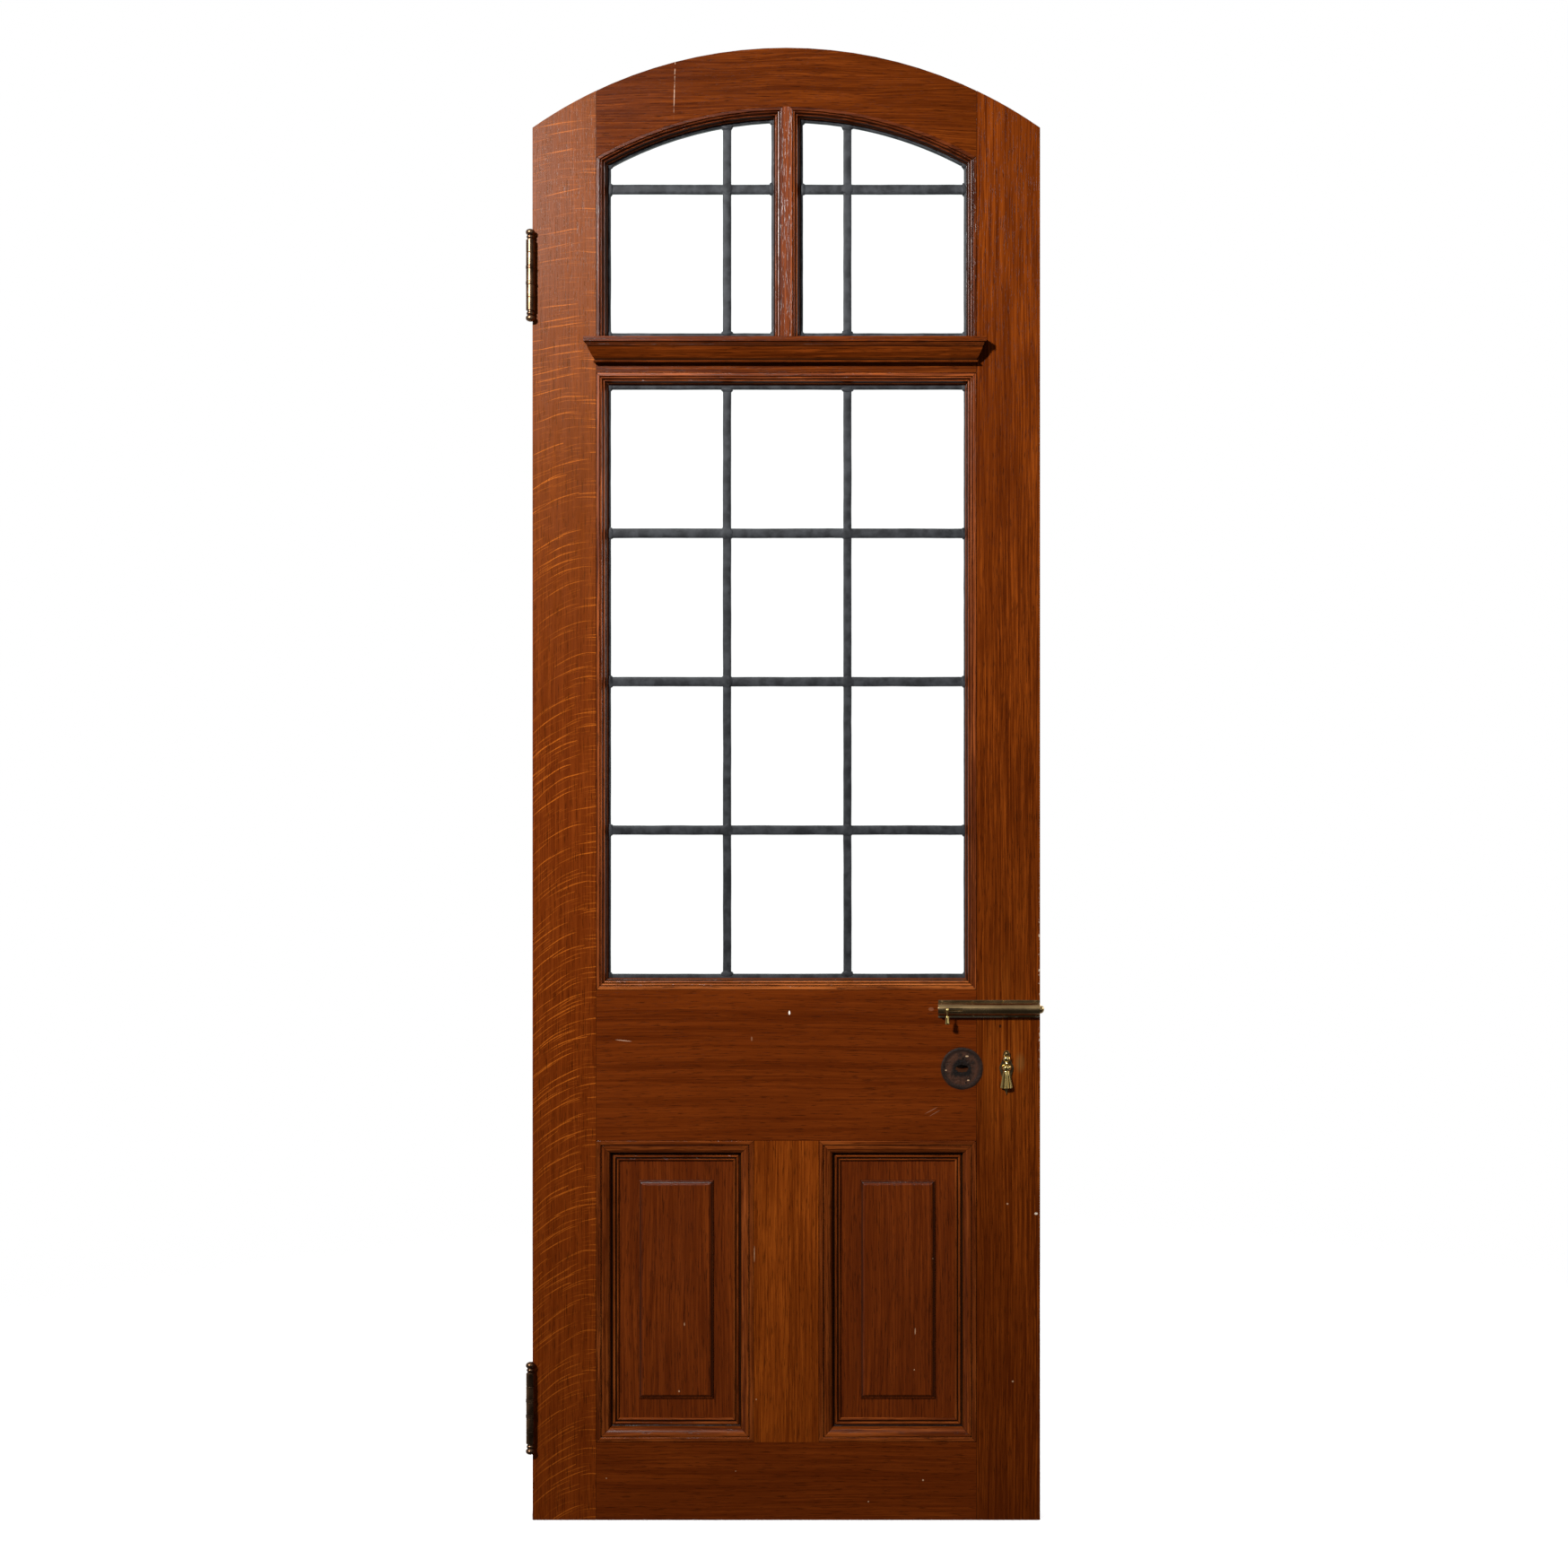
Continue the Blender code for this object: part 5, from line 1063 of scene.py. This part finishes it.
def build_keyhole(brass, bright):
    """The keyhole's plate and the fluted cover hanging in front of it."""
    work = merged_copy("keyhole_plate")
    ease(work, FINE_ARRIS, 40)
    finished("keyhole_back_plate", work, "door", brass, ["keyhole_plate"])

    place = Matrix.Translation((COVER_PIN_X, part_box("keyhole_cover")[1].y, COVER_PIN_Z))
    steps = [(0, 0.055), (0.24, 0.058), (0.42, 0.072), (0.56, 0.098), (0.64, 0.135), (0.66, 0.168)]
    steps += [(0.62, 0.20), (0.50, 0.228), (0.33, 0.247), (0.26, 0.258), (0.29, 0.272), (0.30, 0.287)]
    steps += [(0.27, 0.302), (0.28, 0.318), (0.44, 0.328), (0.64, 0.350), (0.76, 0.384), (0.79, 0.420)]
    steps += [(0.74, 0.458), (0.60, 0.490), (0.47, 0.504), (0.50, 0.514), (0.53, 0.530), (0.58, 0.56)]
    steps += [(0.66, 0.64), (0.74, 0.73), (0.83, 0.83), (0.92, 0.92), (0.99, 0.982), (1.0, 0.992)]
    steps += [(0.96, 1.0), (0, 1.0)]
    work = turned([(r * COVER_SKIRT, -h * COVER_HEIGHT) for r, h in steps], 96)
    for vert in work.verts:
        below = -FLUTE_TOP * COVER_HEIGHT - vert.co.z
        if below > 0 and vert.co.xy.length > COVER_SKIRT * 0.3:
            depth = rise_number(below / (0.12 * COVER_HEIGHT))
            wave = 0.5 - 0.5 * math.cos(FLUTES * math.atan2(vert.co.y, vert.co.x) + math.pi)
            share = 1 - FLUTE_DEPTH * depth * wave**1.5
            vert.co.x *= share
            vert.co.y *= share
    whole = work.verts[:] + work.edges[:] + work.faces[:]
    half = bmesh.ops.bisect_plane(work, geom=whole, plane_co=(0, 0, 0), plane_no=(0, 1, 0), clear_outer=True)
    bmesh.ops.edgeloop_fill(work, edges=only(bmesh.types.BMEdge, half["geom_cut"]))
    bmesh.ops.transform(work, matrix=place, verts=work.verts)
    eye = [(0.0018, 0), (0.0040, 0), (0.0042, 0.0004), (0.0042, 0.0021), (0.0038, 0.0026), (0.0027, 0.0026)]
    eye += [(0.0018, 0.0022), (0.0018, 0)]
    ring = turned(eye, 28, place @ Matrix.Rotation(math.pi / 2, 4, "X"))
    finished("keyhole_fluted_cover", added(work, ring), "cover", bright, ["keyhole_cover"])


def build_rose_mark(crust):
    """The rough ring of old varnish and dirt that the handle's rose left, round the ragged spindle hole."""
    work = bmesh.new()
    rings = 14
    front, back = FACE - 0.00035, FACE + 0.00005
    points = [work.verts.new((0, front, 1 + i / rings)) for i in range(rings + 1)]
    points += [work.verts.new((0, back, 2)), work.verts.new((0, back, 1))]
    edges = closed(work, points)
    around = dict(cent=(0, 0, 0), axis=(0, 1, 0), angle=math.tau, use_merge=True)
    bmesh.ops.spin(work, geom=points + edges, steps=96, **around)
    bmesh.ops.remove_doubles(work, verts=work.verts, dist=0.0001)
    for vert in work.verts:
        flat = Vector((vert.co.x, vert.co.z))
        share = flat.length - 1
        way = flat.normalized()
        ragged = noise.noise(Vector((way.x * 2.2, way.y * 2.2, 4)))
        inner = Vector((HOLE_HALF_WIDTH * way.x, HOLE_HALF_HEIGHT * way.y)) * (1 + 0.22 * ragged)
        outer = way * ROSE_RADIUS * (1 + 0.03 * ragged)
        place = inner.lerp(outer, share)
        vert.co.x, vert.co.z = ROSE_X + place.x, ROSE_Z + place.y
        if vert.co.y < FACE:
            rim = math.exp(-(((share - 0.90) / 0.07) ** 2)) * 0.0005
            rough = noise.noise(Vector((place.x * 420, place.y * 420, 2))) * 0.00045
            edge = 1 if 0.02 < share < 0.98 else 0.2
            vert.co.y -= (rim + rough + 0.0001) * edge
    bmesh.ops.recalc_face_normals(work, faces=work.faces)
    finished("rose_mark", work, "door", crust, smooth=60)


def crust_finish():
    """Old varnish, rust and dirt: dark brown, rough, torn through to the wood in places."""
    material, place, shader = finish("Old_varnish_crust")
    rough = clouds(place, 260, 4.0, 0.65)
    large = clouds(place, 75, 3.0, 0.6)
    tone = blend(rise(large, 0.35, 0.65), (0.010, 0.005, 0.003), (0.042, 0.016, 0.008))
    tone = blend(rise(rough, 0.58, 0.72) * 0.6, tone, (0.085, 0.036, 0.018))
    x, _, z = parts(place)
    away = ((x - ROSE_X) ** 2 + (z - ROSE_Z) ** 2) ** 0.5 + (large - 0.5) * 0.010
    rim = rise(away, 0.0235, 0.0275)
    middle = rise(away, 0.0160, 0.0115)
    tone = blend(rim * 0.75, tone, (0.007, 0.004, 0.003))
    tone = blend(middle * 0.93, tone, (0.003, 0.002, 0.0015))
    for glint in CRUST_GLINTS:
        tone = blend(spot(place, *glint) * 0.85, tone, (0.42, 0.27, 0.15))
    for hole in CRUST_HOLES:
        tone = blend(spot(place, *hole) * 0.9, tone, (0.003, 0.002, 0.001))
    feed(shader, "Base Color", tone)
    feed(shader, "Roughness", rough * 0.4 + 0.35)
    bumps(shader, rough + large * 0.5, 0.7, 0.0008)
    feed(shader, "Specular IOR Level", 0.12)
    return material


def build_glue_lines(dirt):
    """Glue and dirt standing in the joints of rails and stiles, just under the face."""
    work = bmesh.new()
    for node in ("rail_top_arched", "rail_transom", "rail_lock", "rail_bottom"):
        low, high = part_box(node)
        top = high.z - GLUE_HALF
        if node == "rail_top_arched":
            top = HEAD_CENTRE + math.sqrt(HEAD_REACH**2 - (OPENING_RIGHT - CENTRE) ** 2)
        for edge in (OPENING_LEFT, OPENING_RIGHT):
            corner = (edge - GLUE_HALF, FACE + GLUE_SINK, low.z + GLUE_HALF)
            added(work, block(corner, (edge + GLUE_HALF, BACK - GLUE_SINK, top)))
    finished("glue_lines", work, "door", dirt)


def build_lock(iron, brass):
    """The lock's case and forend, its follower behind the spindle hole, and the ends of latch and bolt."""
    work = merged_copy("mortice_lock")
    ease(work, PANEL_ARRIS, 40)
    low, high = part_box("mortice_lock")
    y, z = (low.y + high.y) / 2, (low.z + high.z) / 2
    edge = high.x
    for side in (-1, 1):
        added(work, screw((edge, y, z + side * FOREND_SCREW), (1, 0, 0), LEAF_SCREW_RADIUS, 40 + 70 * side))
    finished("lock_case_and_forend", work, "door", iron, ["mortice_lock"])

    hollow_hub = [(0, 0.006), (0.0050, 0.006), (0.0052, -0.0002), (0.0098, 0)]
    hollow_hub += [(0.0105, 0.0008), (0.0105, 0.010), (0, 0.010)]
    place = Matrix.Translation((ROSE_X, FOLLOWER_Y, ROSE_Z)) @ face_turn((0, 1, 0))
    finished("lock_follower", turned(hollow_hub, 48, place), "door", iron)

    work = bmesh.new()
    for half, low_z, high_z in (LATCH, LOCK_BOLT):
        corner = (edge - LATCH_DEPTH, y - half, z + low_z)
        added(work, block(corner, (edge + LATCH_PROUD, y + half, z + high_z), PANEL_ARRIS))
    finished("latch_and_bolt_ends", work, "door", brass)


# Light, floor and camera

def build_room():
    """A plain pale floor that fades into white air, in soft studio light from the upper left."""
    scene = bpy.context.scene
    scene.view_settings.view_transform = "Standard"
    work = bmesh.new()
    place = Matrix.Translation((CENTRE, 0, DOOR_FOOT - 0.0004))
    bmesh.ops.create_circle(work, cap_ends=True, segments=96, radius=FLOOR_REACH, matrix=place)
    mesh = bpy.data.meshes.new("studio_floor")
    work.to_mesh(mesh)
    work.free()
    floor = bpy.data.objects.new("studio_floor", mesh)
    scene.collection.objects.link(floor)
    material, at, shader = finish("Pale_floor")
    x, y, _ = parts(at)
    away = ((x - CENTRE) ** 2 + y**2) ** 0.5
    feed(shader, "Base Color", blend(clouds(at, 3.0), (0.93, 0.93, 0.93), (0.96, 0.96, 0.96)))
    feed(shader, "Alpha", rise(away, FLOOR_REACH, FLOOR_FULL))
    feed(shader, "Roughness", 0.9)
    feed(shader, "Emission Color", (1.0, 1.0, 1.0, 1.0))
    feed(shader, "Emission Strength", 0.15)
    mesh.materials.append(material)
    floor.visible_glossy = False
    floor.visible_diffuse = False

    world = bpy.data.worlds.new("studio_air")
    scene.world = world
    world.use_nodes = True
    tree = world.node_tree
    way = Value(tree).node("ShaderNodeTexCoord", {}, {}, "Generated")
    x, y, z = parts(way)
    behind = rise(y, -0.25, 0.45)
    seen = way.node("ShaderNodeLightPath", {}, {}, "Is Camera Ray")
    above = rise(z, 0.30, 0.85) * 0.9
    front = blend(above, (0.04, 0.04, 0.04), (0.60, 0.60, 0.60))
    left = rise(x, -0.35, -0.85) * 0.5
    front = blend(left, front, (0.50, 0.50, 0.50))
    air = blend(behind, front, (0.75, 0.75, 0.75))
    shade = blend(seen, air, (1.0, 1.0, 1.0))
    tree.links.new(shade.socket, tree.nodes["Background"].inputs["Color"])

    lamp("key_light", (-1.17, -3.2, 2.77), (CENTRE, 0, 1.7), size=0.36, power=95, spread=95)
    lamp("fill_light", (2.4, -2.6, 1.3), (CENTRE, 0, 0.7), size=1.8, power=13)
    lamp("back_light", (1.5, 3.0, 2.6), (CENTRE, 0, 0.9), size=1.6, power=60)
    lamp("edge_light", (3.0, 0.6, 1.6), (CENTRE, 0, 0.9), size=1.0, power=45)


def lamp(name, place, aim, size, power, spread=180):
    """A square soft light that looks at a point, narrowed to a spread in degrees."""
    light = bpy.data.lights.new(name, "AREA")
    light.size = size
    light.energy = power
    light.spread = math.radians(spread)
    lamp_object = bpy.data.objects.new(name, light)
    lamp_object.location = place
    lamp_object.rotation_mode = "QUATERNION"
    lamp_object.rotation_quaternion = (Vector(aim) - Vector(place)).to_track_quat("-Z", "Y")
    bpy.context.scene.collection.objects.link(lamp_object)


def build_camera():
    """Square to the door, with the shift that puts the door in the middle of the picture."""
    data = bpy.data.cameras.new("photo_camera")
    width = PIXELS * METRES_PER_PIXEL
    data.sensor_width = 36.0
    data.lens = data.sensor_width * CAMERA_DISTANCE / width
    data.shift_x = (PIXELS / 2 - CAMERA_COLUMN) / PIXELS
    data.shift_y = (CAMERA_ROW - PIXELS / 2) / PIXELS
    camera = bpy.data.objects.new("photo_camera", data)
    camera.location = (photo_x(CAMERA_COLUMN), FACE - CAMERA_DISTANCE, photo_z(CAMERA_ROW))
    camera.rotation_euler = (math.pi / 2, 0, 0)
    bpy.context.scene.collection.objects.link(camera)
    bpy.context.scene.camera = camera


def build_door():
    """Every piece of the door, and the clear glass on the panes."""
    build_joinery()
    low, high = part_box("lead_lower")
    rim = LEAD_BORDER - BARE_LEAD
    lead = lead_finish("Old_lead")
    inner = ((low.x + rim, low.z + rim), (high.x - rim, high.z - rim))
    build_lower_light(lead_finish("Old_lead_varnished_border", inner))
    for side in ("left", "right"):
        build_upper_light(side, lead)
    glass = glass_finish()
    for name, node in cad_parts.items():
        if name.startswith("pane_"):
            node.data.materials.clear()
            node.data.materials.append(glass)
    bronze = metal("Bronzed_hinges", *BRONZE, rough=0.33, patina=0.8, tarnish_scale=60)
    brass = metal("Aged_brass", *AGED_BRASS, rough=0.25, patina=0.5, tarnish_scale=40)
    bright = metal("Handled_brass", *HANDLED_BRASS, rough=0.12, patina=0.3, tarnish_scale=60)
    iron = metal("Lock_iron", *LOCK_IRON, rough=0.45, patina=0.6, tarnish_scale=90)
    for label in ("lower", "upper"):
        build_hinge(label, bronze)
    # The plate's foot arris: rubbed bright, with a painted highlight along it
    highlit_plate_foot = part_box("bolt_case")[0].z + PANEL_ARRIS
    case = metal("Bolt_case_brass", *BOLT_BRASS, rough=0.25, patina=0.5, tarnish_scale=40, rubbed=highlit_plate_foot)
    build_bolt(case, brass, bright)
    build_keyhole(brass, bright)
    build_lock(iron, brass)
    build_rose_mark(crust_finish())
    build_glue_lines(oak("Dirt_in_joints", "Z", *JOINT_DIRT))


build_door()
build_room()
build_camera()
